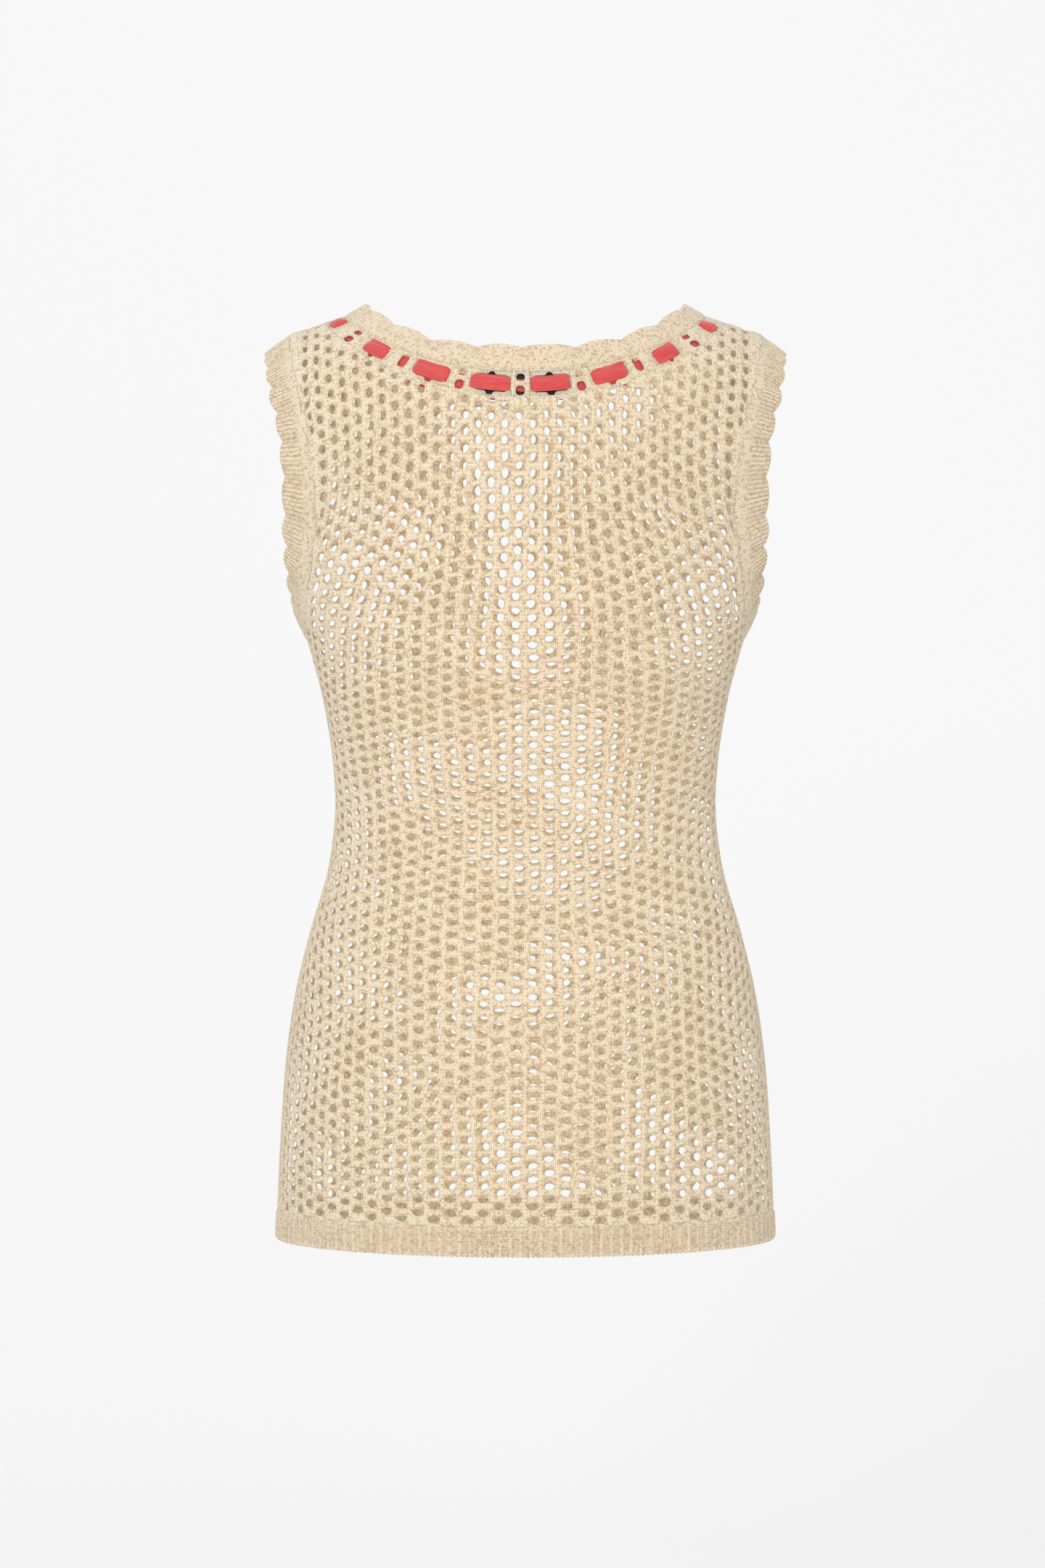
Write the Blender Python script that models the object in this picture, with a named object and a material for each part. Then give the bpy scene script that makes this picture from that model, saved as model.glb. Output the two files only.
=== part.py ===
"""Knit mesh tank top with a ribbon threaded round its neckline, worn, with no wearer inside.

Metres, +Z up. The origin is midway between the shoulders, at the height where the cloth
rests on them. The back of the garment faces -Y and its front faces +Y.
"""

import math

import bmesh
import bpy
import numpy as np

MM = 0.001

# Heights of the hem and its rib band
HEM_BOTTOM = -613.5 * MM
HEM_SEAM = -595.0 * MM
HEM_DIP = 3.5 * MM

# Walls of cloth
MESH_WALL = 2.2 * MM
TRIM_WALL = 3.0 * MM
EYELET_WALL = 1.8 * MM
RIBBON_WALL = 1.0 * MM
LABEL_WALL = 0.8 * MM
SEAM_GAP = 0.3 * MM

# Neckline, as half its width and its depth below the shoulder at the centre
NECK_HALF_WIDTH = 121.0 * MM
NECK_EDGE_HALF_WIDTH = 108.0 * MM
NECK_EDGE_HEIGHT = 12.5 * MM
EYELET_HALF_WIDTH = 135.0 * MM
NECK_DROP = {"back": 43.0 * MM, "front": 36.0 * MM}
NECK_EDGE_DROP = {"back": 33.5 * MM, "front": 26.5 * MM}
EYELET_DROP = {"back": 56.0 * MM, "front": 49.0 * MM}
NECK_BEND = 1.6
NECK_EDGE_BEND = 3
NECK_EDGE_LEAN = 6.0 * MM

# Armhole, an ellipse in the side view, and the free edge of its trim
ARM_CENTRE = -109.0 * MM
ARM_HALF_HEIGHT = 104.0 * MM
ARM_HALF_DEPTH = 66.0 * MM
ARM_EDGE_CENTRE = -106.0 * MM
ARM_EDGE_HALF_HEIGHT = 87.0 * MM
ARM_EDGE_HALF_DEPTH = 56.0 * MM
NEAREST_ARM_SEAM = 90.0 * MM
LEAST_DEPTH = 0.02 * MM
HALVINGS = 50

# Scalloped edges and the ribs of the hem
NECK_SCALLOPS = 20
NECK_COLUMNS_PER_SCALLOP = 5
ARM_SCALLOPS = 24
SCALLOP_RISE = 2.6 * MM
SCALLOP_RUFFLE = 1.0 * MM
SCALLOP_SHARPNESS = 0.75
SCALLOP_MEAN = 0.6
TRIM_EDGE_THINNING = 0.7
HEM_RIBS = 134
RIB_RELIEF = 0.5 * MM

# The threaded row, one period being a ladder of two bars and the ribbon window beside it
THREAD_PERIODS = 16
THREAD_PERIOD = 39.0 * MM
LADDER_SHARE = 12.0 * MM / THREAD_PERIOD
HOLE_SHARE = 5.0 * MM / THREAD_PERIOD
SLOT_SHARE = 6.0 * MM / THREAD_PERIOD
EYELET_LEVELS = (0.0, 0.16, 0.44, 0.56, 0.84, 1.0)
RIBBON_WIDTH_SHARE = 0.62
RIBBON_STEP = 1.9 * MM
RIBBON_BULGE = 0.8 * MM
RIBBON_CLEAR_SHARE = 0.3 * MM / THREAD_PERIOD
LABEL_HALF_LENGTH = 35.0 * MM
LABEL_LEVELS = (0.10, 0.97)
LABEL_COLUMNS = 10

# Grid of each body panel, with two half columns to each period of the threaded row
NECK_COLUMNS = THREAD_PERIODS // 2
SHOULDER_COLUMNS = 3
LOWER_ROWS = 15
UPPER_ROWS = 16
TRIM_COLUMNS_PER_ROW = 3

YARN = (0.80, 0.66, 0.47)
RIBBON_RED = (0.72, 0.075, 0.07)
LABEL_BLACK = (0.02, 0.018, 0.02)

# Cross-sections of the worn cloth, from the hem to above the shoulders
SECTION_COLUMNS = ("height", "half_width", "back", "front", "fullness")
SECTIONS = (
    (-620.0, 167.0, 104.0, 97.0, 2.3),
    (-602.0, 166.5, 105.0, 98.0, 2.3),
    (-544.0, 164.0, 110.0, 99.0, 2.3),
    (-485.0, 159.5, 108.0, 98.0, 2.3),
    (-446.0, 153.5, 102.0, 96.0, 2.3),
    (-407.0, 144.0, 94.0, 93.0, 2.3),
    (-367.0, 132.5, 85.0, 90.0, 2.3),
    (-328.0, 127.5, 80.0, 89.0, 2.3),
    (-289.0, 129.5, 81.0, 92.0, 2.3),
    (-250.0, 136.0, 87.0, 101.0, 2.35),
    (-211.0, 146.5, 95.0, 109.0, 2.4),
    (-180.0, 156.5, 98.0, 111.0, 2.4),
    (-150.0, 163.0, 98.5, 108.0, 2.4),
    (-120.0, 169.0, 97.0, 100.0, 2.4),
    (-80.0, 177.0, 95.0, 89.0, 2.4),
    (-40.0, 184.0, 93.0, 81.0, 2.4),
    (20.0, 188.0, 92.0, 77.0, 2.4),
)

# Height of the shoulder line over its distance from the centre
SHOULDER_LINE_COLUMNS = ("reach", "height")
SHOULDER_LINE = (
    (0.0, 50.0),
    (60.0, 29.0),
    (108.0, 11.0),
    (121.0, 6.0),
    (135.0, 1.5),
    (151.0, -3.8),
    (155.5, -5.0),
    (163.0, -9.0),
    (174.0, -17.0),
    (195.0, -34.0),
)

# How far below the shoulder line the cloth reaches its full depth
ROUNDING_MIDDLE = {"back": 150.0 * MM, "front": 130.0 * MM}
ROUNDING_TIP = {"back": 90.0 * MM, "front": 85.0 * MM}
SHOULDER_TIP = 155.5 * MM

# Free edge of an armhole trim, its distance from the centre over height
ARM_EDGE_COLUMNS = ("height", "reach")
ARM_EDGE = (
    (-193.0, 154.0),
    (-171.0, 157.5),
    (-152.0, 159.0),
    (-122.0, 159.5),
    (-93.0, 160.5),
    (-73.0, 163.0),
    (-54.0, 167.5),
    (-34.0, 171.5),
    (-19.0, 173.5),
)

# Soft folds of the slack cloth, each a shallow trough along a tilted line
FOLD_COLUMNS = ("side", "x", "z", "half_length", "half_width", "tilt", "depth")
FOLDS = (
    ("back", -82.0, -196.0, 62.0, 11.0, -24.0, 2.6),
    ("back", 78.0, -212.0, 58.0, 12.0, 22.0, 2.4),
    ("back", -34.0, -262.0, 55.0, 12.0, -9.0, 1.8),
    ("back", 40.0, -305.0, 60.0, 13.0, 8.0, 2.0),
    ("back", -66.0, -352.0, 52.0, 12.0, 14.0, 2.2),
    ("back", 70.0, -398.0, 50.0, 13.0, -18.0, 1.8),
    ("front", -80.0, -236.0, 56.0, 12.0, -20.0, 2.4),
    ("front", 84.0, -228.0, 60.0, 11.0, 24.0, 2.6),
    ("front", 30.0, -300.0, 58.0, 13.0, -8.0, 1.8),
    ("front", -46.0, -348.0, 54.0, 12.0, 10.0, 2.0),
    ("front", 62.0, -392.0, 52.0, 13.0, 16.0, 1.8),
)

SIGN = {"back": -1.0, "front": 1.0}


def column(table, names, name):
    """One named column of a table of numbers."""
    return np.array([row[names.index(name)] for row in table], float)


def smooth_curve(where, knots, values):
    """A smooth curve through the knots, which keeps its end values beyond them."""
    slopes = np.gradient(values, knots)
    where = np.clip(where, knots[0], knots[-1])
    i = np.clip(np.searchsorted(knots, where) - 1, 0, len(knots) - 2)
    width = knots[i + 1] - knots[i]
    k = (where - knots[i]) / width
    return (
        (2 * k**3 - 3 * k**2 + 1) * values[i]
        + (k**3 - 2 * k**2 + k) * width * slopes[i]
        + (3 * k**2 - 2 * k**3) * values[i + 1]
        + (k**3 - k**2) * width * slopes[i + 1]
    )


def section(z, name):
    """A size of the worn cloth's cross-section at height z."""
    scale = 1.0 if name == "fullness" else MM
    knots = column(SECTIONS, SECTION_COLUMNS, "height") * MM
    return smooth_curve(z, knots, column(SECTIONS, SECTION_COLUMNS, name) * scale)


def shoulder_height(x):
    """Height of the shoulder line at a distance x from the centre."""
    knots = column(SHOULDER_LINE, SHOULDER_LINE_COLUMNS, "reach") * MM
    heights = column(SHOULDER_LINE, SHOULDER_LINE_COLUMNS, "height") * MM
    return smooth_curve(np.abs(x), knots, heights)


def level(side, x, y, z):
    """Below zero inside the worn form and above zero outside it."""
    reach = np.clip(np.abs(x) / section(z, "half_width"), 0.0, 1.0)
    fullness = section(z, "fullness")
    across = (1.0 - reach**fullness) ** (2.0 / fullness)
    rounding = ROUNDING_MIDDLE[side] + (ROUNDING_TIP[side] - ROUNDING_MIDDLE[side]) * (
        np.minimum(np.abs(x) / SHOULDER_TIP, 1.2) ** 2
    )
    below = np.minimum((shoulder_height(x) - z) / rounding, 1.0)
    up = 1.0 - (1.0 - below) ** 2
    return (y / section(z, side)) ** 2 - across * up


def skin_depth(side, x, z):
    """Distance of the form's surface from the plane of the side seams."""
    return section(z, side) * np.sqrt(np.maximum(-level(side, x, 0.0, z), 0.0))


def skin_reach(side, y, z):
    """Distance from the centre at which the form's surface has depth y at height z."""
    near = np.full(np.shape(y), NEAREST_ARM_SEAM)
    far = section(z, "half_width")
    for _ in range(HALVINGS):
        middle = (near + far) / 2
        outside = skin_depth(side, middle, z) < np.maximum(np.abs(y), LEAST_DEPTH)
        far = np.where(outside, middle, far)
        near = np.where(outside, near, middle)
    return (near + far) / 2


def skin_normal(side, points):
    """Outward directions of the form's surface at these points."""
    step = 0.01 * MM
    x, y, z = points[..., 0], points[..., 1], points[..., 2]
    slope = [
        level(side, x + step, y, z) - level(side, x - step, y, z),
        level(side, x, y + step, z) - level(side, x, y - step, z),
        level(side, x, y, z + step) - level(side, x, y, z - step),
    ]
    normal = np.stack(slope, axis=-1)
    return normal / np.linalg.norm(normal, axis=-1, keepdims=True)


def fold_depth(side, points):
    """How far the soft folds sink the cloth inwards at these points."""
    sunk = np.zeros(points.shape[:-1])
    for fold in FOLDS:
        row = dict(zip(FOLD_COLUMNS, fold))
        if row["side"] != side:
            continue
        tilt = math.radians(row["tilt"])
        dx = points[..., 0] / MM - row["x"]
        dz = points[..., 2] / MM - row["z"]
        along = (dx * math.cos(tilt) + dz * math.sin(tilt)) / row["half_length"]
        across = (dz * math.cos(tilt) - dx * math.sin(tilt)) / row["half_width"]
        sunk += row["depth"] * MM * np.exp(-(along**2) * 1.5 - across**2)
    return sunk


def on_skin(side, x, z):
    """Points of the form's surface, and their outward directions, for front-view places."""
    points = np.stack([x, SIGN[side] * skin_depth(side, x, z), z], axis=-1)
    normals = skin_normal(side, points)
    return points - normals * fold_depth(side, points)[..., None], normals


def ease(k):
    """Rises smoothly from 0 to 1."""
    k = np.clip(k, 0.0, 1.0)
    return k * k * (3 - 2 * k)


def neck_side(turn):
    """Which side of the garment a turn round the neckline is on, starting at the centre back."""
    return np.cos(turn) >= 0.0


def neck_path(turn, half_width, drops):
    """A closed line round the neck on the form, with its outward directions.

    It runs from the centre back over the +X shoulder. drops holds its depth at the centre of
    each side.
    """
    x = half_width * np.sin(turn)
    top = shoulder_height(np.full(1, half_width))[0]
    points, normals = np.zeros((len(turn), 3)), np.zeros((len(turn), 3))
    for side, drop in drops.items():
        mine = neck_side(turn) == (side == "back")
        z = top - drop * np.abs(np.cos(turn[mine])) ** NECK_BEND
        points[mine], normals[mine] = on_skin(side, x[mine], z)
    return points, normals


def scallop(turn, count):
    """Rounded bumps with narrow notches, from 0 at a notch to 1."""
    return np.abs(np.sin(turn * count / 2)) ** SCALLOP_SHARPNESS


def neck_free_edge(turn, seam):
    """The scalloped top edge of the neck trim, which leans in over the neckline."""
    across = np.sin(turn)
    x = NECK_EDGE_HALF_WIDTH * across
    drop = np.where(neck_side(turn), NECK_EDGE_DROP["back"], NECK_EDGE_DROP["front"])
    z = NECK_EDGE_HEIGHT - drop * (1 - np.abs(across) ** NECK_EDGE_BEND)
    return np.stack([x, seam[:, 1] + NECK_EDGE_LEAN * np.cos(turn), z], axis=-1)


def arm_path(turn):
    """The armhole seam on the +X side of the form, from the underarm up the back.

    Returns its points and their outward directions.
    """
    points, normals = np.zeros((len(turn), 3)), np.zeros((len(turn), 3))
    for side in SIGN:
        mine = (np.sin(turn) >= 0.0) == (side == "back")
        y = -ARM_HALF_DEPTH * np.sin(turn[mine])
        z = ARM_CENTRE - ARM_HALF_HEIGHT * np.cos(turn[mine])
        points[mine], normals[mine] = on_skin(side, skin_reach(side, y, z), z)
    return points, normals


def arm_across(turn):
    """Directions along the cloth, across the armhole seam and into the armhole."""
    step = 0.002
    _, normals = arm_path(turn)
    along = arm_path(turn + step)[0] - arm_path(turn - step)[0]
    return unit(np.cross(along, normals))


def arm_row_turns(side):
    """How far round the armhole the rows of a panel end, evenly along its edge."""
    fine = np.linspace(0.0, math.pi, 721)
    steps = np.hypot(ARM_HALF_HEIGHT * np.diff(np.cos(fine)), ARM_HALF_DEPTH * np.diff(np.sin(fine)))
    length = np.concatenate([[0.0], np.cumsum(steps)])
    turns = np.interp(np.arange(UPPER_ROWS + 1) / UPPER_ROWS, length / length[-1], fine)
    return turns if side == "back" else 2 * math.pi - turns


def arm_free_edge(turn):
    """The free edge of the armhole trim on the +X side, before its scallops."""
    z = ARM_EDGE_CENTRE - ARM_EDGE_HALF_HEIGHT * np.cos(turn)
    reach = smooth_curve(
        z,
        column(ARM_EDGE, ARM_EDGE_COLUMNS, "height") * MM,
        column(ARM_EDGE, ARM_EDGE_COLUMNS, "reach") * MM,
    )
    return np.stack([reach, -ARM_EDGE_HALF_DEPTH * np.sin(turn), z], axis=-1)


def unit(vectors):
    """The same directions, one long."""
    return vectors / np.maximum(np.linalg.norm(vectors, axis=-1, keepdims=True), 1e-12)


def material(name, colour, roughness):
    """A plain Principled surface for one piece."""
    made = bpy.data.materials.new(name)
    made.use_nodes = True
    shader = made.node_tree.nodes["Principled BSDF"]
    shader.inputs["Base Color"].default_value = (*colour, 1.0)
    shader.inputs["Roughness"].default_value = roughness
    shader.inputs["Metallic"].default_value = 0.0
    return made


def wall(name, outer, inner, finish, closed_round=False, missing=()):
    """A wall of cloth between two grids of points, closed along its edges.

    closed_round joins the last column to the first. missing holds the (row, column) cells that
    are cut through.
    """
    rows, columns = outer.shape[:2]
    mesh = bmesh.new()
    out = [[mesh.verts.new(p) for p in row] for row in outer]
    ins = [[mesh.verts.new(p) for p in row] for row in inner]
    spans = columns if closed_round else columns - 1
    kept = {(r, c) for r in range(rows - 1) for c in range(spans)} - set(missing)

    def has(r, c):
        return (r, c % spans if closed_round else c) in kept

    for r, c in sorted(kept):
        d = (c + 1) % columns
        mesh.faces.new((out[r][c], out[r + 1][c], out[r + 1][d], out[r][d]))
        mesh.faces.new((ins[r][c], ins[r][d], ins[r + 1][d], ins[r + 1][c]))
        if not has(r - 1, c):
            mesh.faces.new((out[r][c], out[r][d], ins[r][d], ins[r][c]))
        if not has(r + 1, c):
            mesh.faces.new((out[r + 1][c], ins[r + 1][c], ins[r + 1][d], out[r + 1][d]))
        if not has(r, c - 1):
            mesh.faces.new((out[r][c], ins[r][c], ins[r + 1][c], out[r + 1][c]))
        if not has(r, c + 1):
            mesh.faces.new((out[r][d], out[r + 1][d], ins[r + 1][d], ins[r][d]))
    loose = [v for v in mesh.verts if not v.link_faces]
    bmesh.ops.delete(mesh, geom=loose, context="VERTS")
    bmesh.ops.recalc_face_normals(mesh, faces=mesh.faces)
    data = bpy.data.meshes.new(name)
    mesh.to_mesh(data)
    mesh.free()
    data.materials.append(finish)
    data.shade_smooth()
    made = bpy.data.objects.new(name, data)
    bpy.data.collections["knit_tank_top"].objects.link(made)
    return made


def panel_top(side):
    """The top edge of a panel's +X half, along the threaded row and then the shoulder."""
    gap = SEAM_GAP / 2
    shares = np.arange(NECK_COLUMNS + 1) / (2 * THREAD_PERIODS)
    turn = neck_turns(shares if side == "back" else 0.5 - shares)
    half_width = EYELET_HALF_WIDTH + gap
    start = shoulder_height(half_width)
    shoulder = np.linspace(half_width, SHOULDER_TIP, SHOULDER_COLUMNS + 1)[1:]
    x = np.concatenate([half_width * np.sin(turn), shoulder])
    neck_z = start - (EYELET_DROP[side] + gap) * np.abs(np.cos(turn)) ** NECK_BEND
    return x, np.concatenate([neck_z, shoulder_height(shoulder)])


def panel_sections(side):
    """The rows of a body panel from the hem to the shoulder, for its +X half."""
    top_x, top_z = panel_top(side)
    share = np.linspace(0.0, 1.0, len(top_x))
    wide = np.sin(share * math.pi / 2)
    underarm = ARM_CENTRE - ARM_HALF_HEIGHT
    rows = []
    for z in np.linspace(HEM_SEAM + SEAM_GAP / 2, underarm, LOWER_ROWS + 1):
        dip = HEM_DIP * (1 - wide**2) * (z - underarm) / (HEM_SEAM - underarm)
        rows.append((section(z, "half_width") * wide, z - dip))
    edge, _ = arm_path(arm_row_turns(side))
    for row in range(1, UPPER_ROWS + 1):
        up = row / UPPER_ROWS
        blend = ease(up)
        centre = underarm + (top_z[0] - underarm) * up
        reach, height = edge[row, 0], edge[row, 2]
        top_bend = (top_z - top_z[-1]) / (top_z[0] - top_z[-1])
        bend = (1 - share**2) * (1 - blend) + top_bend * blend
        rows.append(
            (reach * (wide + (top_x / top_x[-1] - wide) * blend), height + (centre - height) * bend)
        )
    return rows


def body_panel(side, finish):
    """The back or front of the body, a wall on the worn form between its seams."""
    sections = panel_sections(side)
    half_x = np.array([x for x, _ in sections])
    half_z = np.array([z for _, z in sections])
    points, normals = on_skin(side, half_x, half_z)
    points = keep_seam_gap(points, side)
    left_points = (points * np.array([-1.0, 1.0, 1.0]))[:, :0:-1]
    left_normals = (normals * np.array([-1.0, 1.0, 1.0]))[:, :0:-1]
    points = np.concatenate([left_points, points], axis=1)
    normals = np.concatenate([left_normals, normals], axis=1)
    half = MESH_WALL / 2
    return wall(f"{side}_panel", points + normals * half, points - normals * half, finish)


def keep_seam_gap(points, side):
    """Moves a panel's edges half a seam gap back from the seams that the pieces share."""
    points[LOWER_ROWS:, -1] -= arm_across(arm_row_turns(side)) * SEAM_GAP / 2
    points[..., 1] = SIGN[side] * np.maximum(np.abs(points[..., 1]), SEAM_GAP / 2)
    return points


def hem_band(finish):
    """The ribbed band at the hem, whose ribs are raised on its outside."""
    columns = HEM_RIBS * 2
    turn = np.arange(columns) * 2 * math.pi / columns
    rows, outward = [], []
    for height in (HEM_BOTTOM, HEM_SEAM - SEAM_GAP / 2):
        points, normals = np.zeros((columns, 3)), np.zeros((columns, 3))
        for side in SIGN:
            mine = neck_side(turn) == (side == "back")
            share = np.sin(even_turn(side, height, turn[mine]))
            x = section(height, "half_width") * share
            points[mine], normals[mine] = on_skin(side, x, height - HEM_DIP * (1 - share**2))
        rows.append(points)
        outward.append(normals)
    points, normals = np.array(rows), np.array(outward)
    ribs = np.where(np.arange(columns) % 2 == 0, RIB_RELIEF, -RIB_RELIEF)[None, :, None]
    outer = points + normals * (TRIM_WALL / 2 - RIB_RELIEF + ribs)
    inner = points - normals * TRIM_WALL / 2
    return wall("hem_band", outer, inner, finish, closed_round=True)


def even_turn(side, z, turn):
    """Turns that give points an even distance apart round the section at height z."""
    fine = np.linspace(0.0, math.pi / 2, 600)
    x = section(z, "half_width") * np.sin(fine)
    y = skin_depth(side, x, np.full(len(x), z))
    length = np.concatenate([[0.0], np.cumsum(np.hypot(np.diff(x), np.diff(y)))])
    quarter = np.abs(np.arcsin(np.sin(turn))) / (math.pi / 2)
    return np.sign(np.sin(turn)) * np.interp(quarter, length / length[-1], fine)


def neck_trim(finish):
    """The knitted trim round the neck, with its scalloped and lightly ruffled free edge."""
    columns = NECK_SCALLOPS * NECK_COLUMNS_PER_SCALLOP
    turn = np.arange(columns) * 2 * math.pi / columns
    seam, seam_normal = neck_path(turn, NECK_HALF_WIDTH - SEAM_GAP / 2, NECK_DROP)
    free = neck_free_edge(turn, seam)
    return trim_wall("neck_trim", turn, seam, seam_normal, free, NECK_SCALLOPS, finish)


def arm_trim(name, finish, across):
    """The knitted trim round one armhole, across being 1 on the +X side and -1 on the other."""
    corners = np.concatenate([arm_row_turns("back"), arm_row_turns("front")[-2::-1]])
    where = np.arange(2 * UPPER_ROWS * TRIM_COLUMNS_PER_ROW) / TRIM_COLUMNS_PER_ROW
    points, normals = arm_path(corners)
    points += arm_across(corners) * SEAM_GAP / 2
    turn = np.interp(where, np.arange(len(corners)), corners)
    seam, seam_normal = along_corners(where, points), unit(along_corners(where, normals))
    free = arm_free_edge(turn)
    mirror = np.array([across, 1.0, 1.0])
    seam, seam_normal, free = seam * mirror, seam_normal * mirror, free * mirror
    return trim_wall(name, turn, seam, seam_normal, free, ARM_SCALLOPS, finish)


def along_corners(where, corners):
    """Points on the straight lines between corners, where counting the corners passed."""
    counts = np.arange(len(corners))
    return np.stack([np.interp(where, counts, corners[:, k]) for k in range(3)], axis=-1)


def trim_wall(name, turn, seam, seam_normal, free, scallops, finish):
    """A trim's wall from its seam to its free edge, with a crown between them."""
    bumps = scallop(turn, scallops)[:, None]
    across = unit(free - seam)
    along = unit(np.roll(seam, -1, axis=0) - np.roll(seam, 1, axis=0))
    outward = unit(np.cross(across, along))
    outward *= np.sign(np.sum(outward * seam_normal, axis=-1, keepdims=True))
    middle = seam + (free - seam) * 0.5
    edge = free + (across * SCALLOP_RISE + outward * SCALLOP_RUFFLE) * (bumps - SCALLOP_MEAN)
    middle_normal = unit(outward + seam_normal)
    half = TRIM_WALL / 2
    outer = [
        seam + seam_normal * MESH_WALL / 2,
        middle + middle_normal * half,
        edge + outward * half * TRIM_EDGE_THINNING,
    ]
    inner = [
        seam - seam_normal * MESH_WALL / 2,
        middle - middle_normal * half,
        edge - outward * half * TRIM_EDGE_THINNING,
    ]
    return wall(name, np.array(outer), np.array(inner), finish, closed_round=True)


def neck_turns(shares):
    """Turns round the neck at these shares of it, even in length over the back and the front."""
    fine = np.linspace(0.0, math.pi, 1201)
    line, _ = eyelet_line(fine, 0.5)
    steps = np.linalg.norm(np.diff(line, axis=0), axis=-1)
    length = np.concatenate([[0.0], np.cumsum(steps)])
    back = np.interp(math.pi / 2, fine, length)
    even = np.interp(length, (0.0, back, length[-1]), (0.0, 0.25, 0.5))
    nearest = np.mod(shares + 0.5, 1.0) - 0.5
    return np.sign(nearest) * np.interp(np.abs(nearest), even, fine)


def eyelet_line(turn, down):
    """The line round the neck that lies a share down of the eyelet row below the neck seam."""
    half_width = NECK_HALF_WIDTH + (EYELET_HALF_WIDTH - NECK_HALF_WIDTH) * down
    drops = {s: NECK_DROP[s] + (EYELET_DROP[s] - NECK_DROP[s]) * down for s in NECK_DROP}
    return neck_path(turn, half_width, drops)


def eyelet_shares():
    """Where the columns of the eyelet row stand, as shares of its length, ladder by ladder."""
    ladder, hole = LADDER_SHARE / 2, HOLE_SHARE / 2
    period = (-ladder, -hole, hole, ladder, ladder + SLOT_SHARE, 0.5, 1 - ladder - SLOT_SHARE)
    return np.array([(n + p) / THREAD_PERIODS for n in range(THREAD_PERIODS) for p in period])


def eyelet_foot(shares, down):
    """The lower edge of the eyelet row, straight between the columns of the body panels."""
    corner_shares = np.arange(-1, 2 * THREAD_PERIODS + 1) / (2 * THREAD_PERIODS)
    points, normals = eyelet_line(neck_turns(corner_shares), down)
    where = shares * 2 * THREAD_PERIODS + 1
    return along_corners(where, points), unit(along_corners(where, normals))


def eyelet_row(finish):
    """The row of ladders and slots that the ribbon is threaded through."""
    shares = eyelet_shares()
    turn = neck_turns(shares)
    gap = SEAM_GAP / 2 / (EYELET_HALF_WIDTH - NECK_HALF_WIDTH)
    lines = [eyelet_foot(shares, 1 - gap)]
    lines += [eyelet_line(turn, max(v, gap)) for v in EYELET_LEVELS[-2::-1]]
    points = np.array([line for line, _ in lines])
    normals = np.array([normal for _, normal in lines])
    per_period = len(turn) // THREAD_PERIODS
    hole_column, slot_columns = 1, (3, 6)
    missing = []
    for n in range(THREAD_PERIODS):
        missing += [(row, n * per_period + hole_column) for row in (1, 3)]
        missing += [(row, n * per_period + c) for row in (1, 2, 3) for c in slot_columns]
    half = EYELET_WALL / 2
    outer, inner = points + normals * half, points - normals * half
    return wall("eyelet_row", outer, inner, finish, closed_round=True, missing=missing)


def ribbon(finish):
    """The ribbon, out over each window, in through a slot and behind each ladder."""
    slot_start = LADDER_SHARE / 2 + RIBBON_CLEAR_SHARE
    slot_end = LADDER_SHARE / 2 + SLOT_SHARE - RIBBON_CLEAR_SHARE
    stops = (0.0, slot_start, slot_end, 0.5, 1 - slot_end, 1 - slot_start)
    crest = RIBBON_STEP + RIBBON_BULGE
    out = (-RIBBON_STEP, -RIBBON_STEP, RIBBON_STEP, crest, RIBBON_STEP, -RIBBON_STEP)
    shares = np.array([(n + s) / THREAD_PERIODS for n in range(THREAD_PERIODS) for s in stops])
    offset = np.tile(out, THREAD_PERIODS)[:, None]
    turn = neck_turns(shares)
    edges = (0.5 + RIBBON_WIDTH_SHARE / 2, 0.5 - RIBBON_WIDTH_SHARE / 2)
    outer, inner = [], []
    for down in edges:
        line, normal = eyelet_line(turn, down)
        middle = line + normal * offset
        along = unit(np.roll(middle, -1, axis=0) - np.roll(middle, 1, axis=0))
        face = unit(normal - along * np.sum(normal * along, axis=-1, keepdims=True))
        outer.append(middle + face * RIBBON_WALL / 2)
        inner.append(middle - face * RIBBON_WALL / 2)
    return wall("ribbon", np.array(outer), np.array(inner), finish, closed_round=True)


def label(finish):
    """The small plain label inside the centre back, behind the threaded ribbon."""
    reach = LABEL_HALF_LENGTH / eyelet_length()
    turn = neck_turns(np.linspace(-reach, reach, LABEL_COLUMNS + 1))
    sunk = RIBBON_STEP + RIBBON_WALL / 2 + SEAM_GAP
    outer, inner = [], []
    for down in reversed(LABEL_LEVELS):
        line, normal = eyelet_line(turn, down)
        outer.append(line - normal * sunk)
        inner.append(line - normal * (sunk + LABEL_WALL))
    return wall("neck_label", np.array(outer), np.array(inner), finish)


def eyelet_length():
    """Length of the eyelet row, measured along its middle."""
    line, _ = eyelet_line(np.linspace(0.0, 2 * math.pi, 1201)[:-1], 0.5)
    return float(np.linalg.norm(np.roll(line, -1, axis=0) - line, axis=-1).sum())


def clear_scene():
    """Removes what the opened file holds and makes the garment's collection."""
    for old in list(bpy.data.objects):
        bpy.data.objects.remove(old)
    group = bpy.data.collections.new("knit_tank_top")
    bpy.context.scene.collection.children.link(group)


def main():
    """Builds every piece of the garment."""
    clear_scene()
    mesh_knit = material("mesh_knit", YARN, 0.9)
    trim_knit = material("trim_knit", YARN, 0.88)
    red_ribbon = material("red_ribbon", RIBBON_RED, 0.55)
    black_label = material("black_label", LABEL_BLACK, 0.7)
    body_panel("back", mesh_knit)
    body_panel("front", mesh_knit)
    hem_band(trim_knit)
    neck_trim(trim_knit)
    arm_trim("right_arm_trim", trim_knit, 1.0)
    arm_trim("left_arm_trim", trim_knit, -1.0)
    eyelet_row(mesh_knit)
    ribbon(red_ribbon)
    label(black_label)


main()
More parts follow.
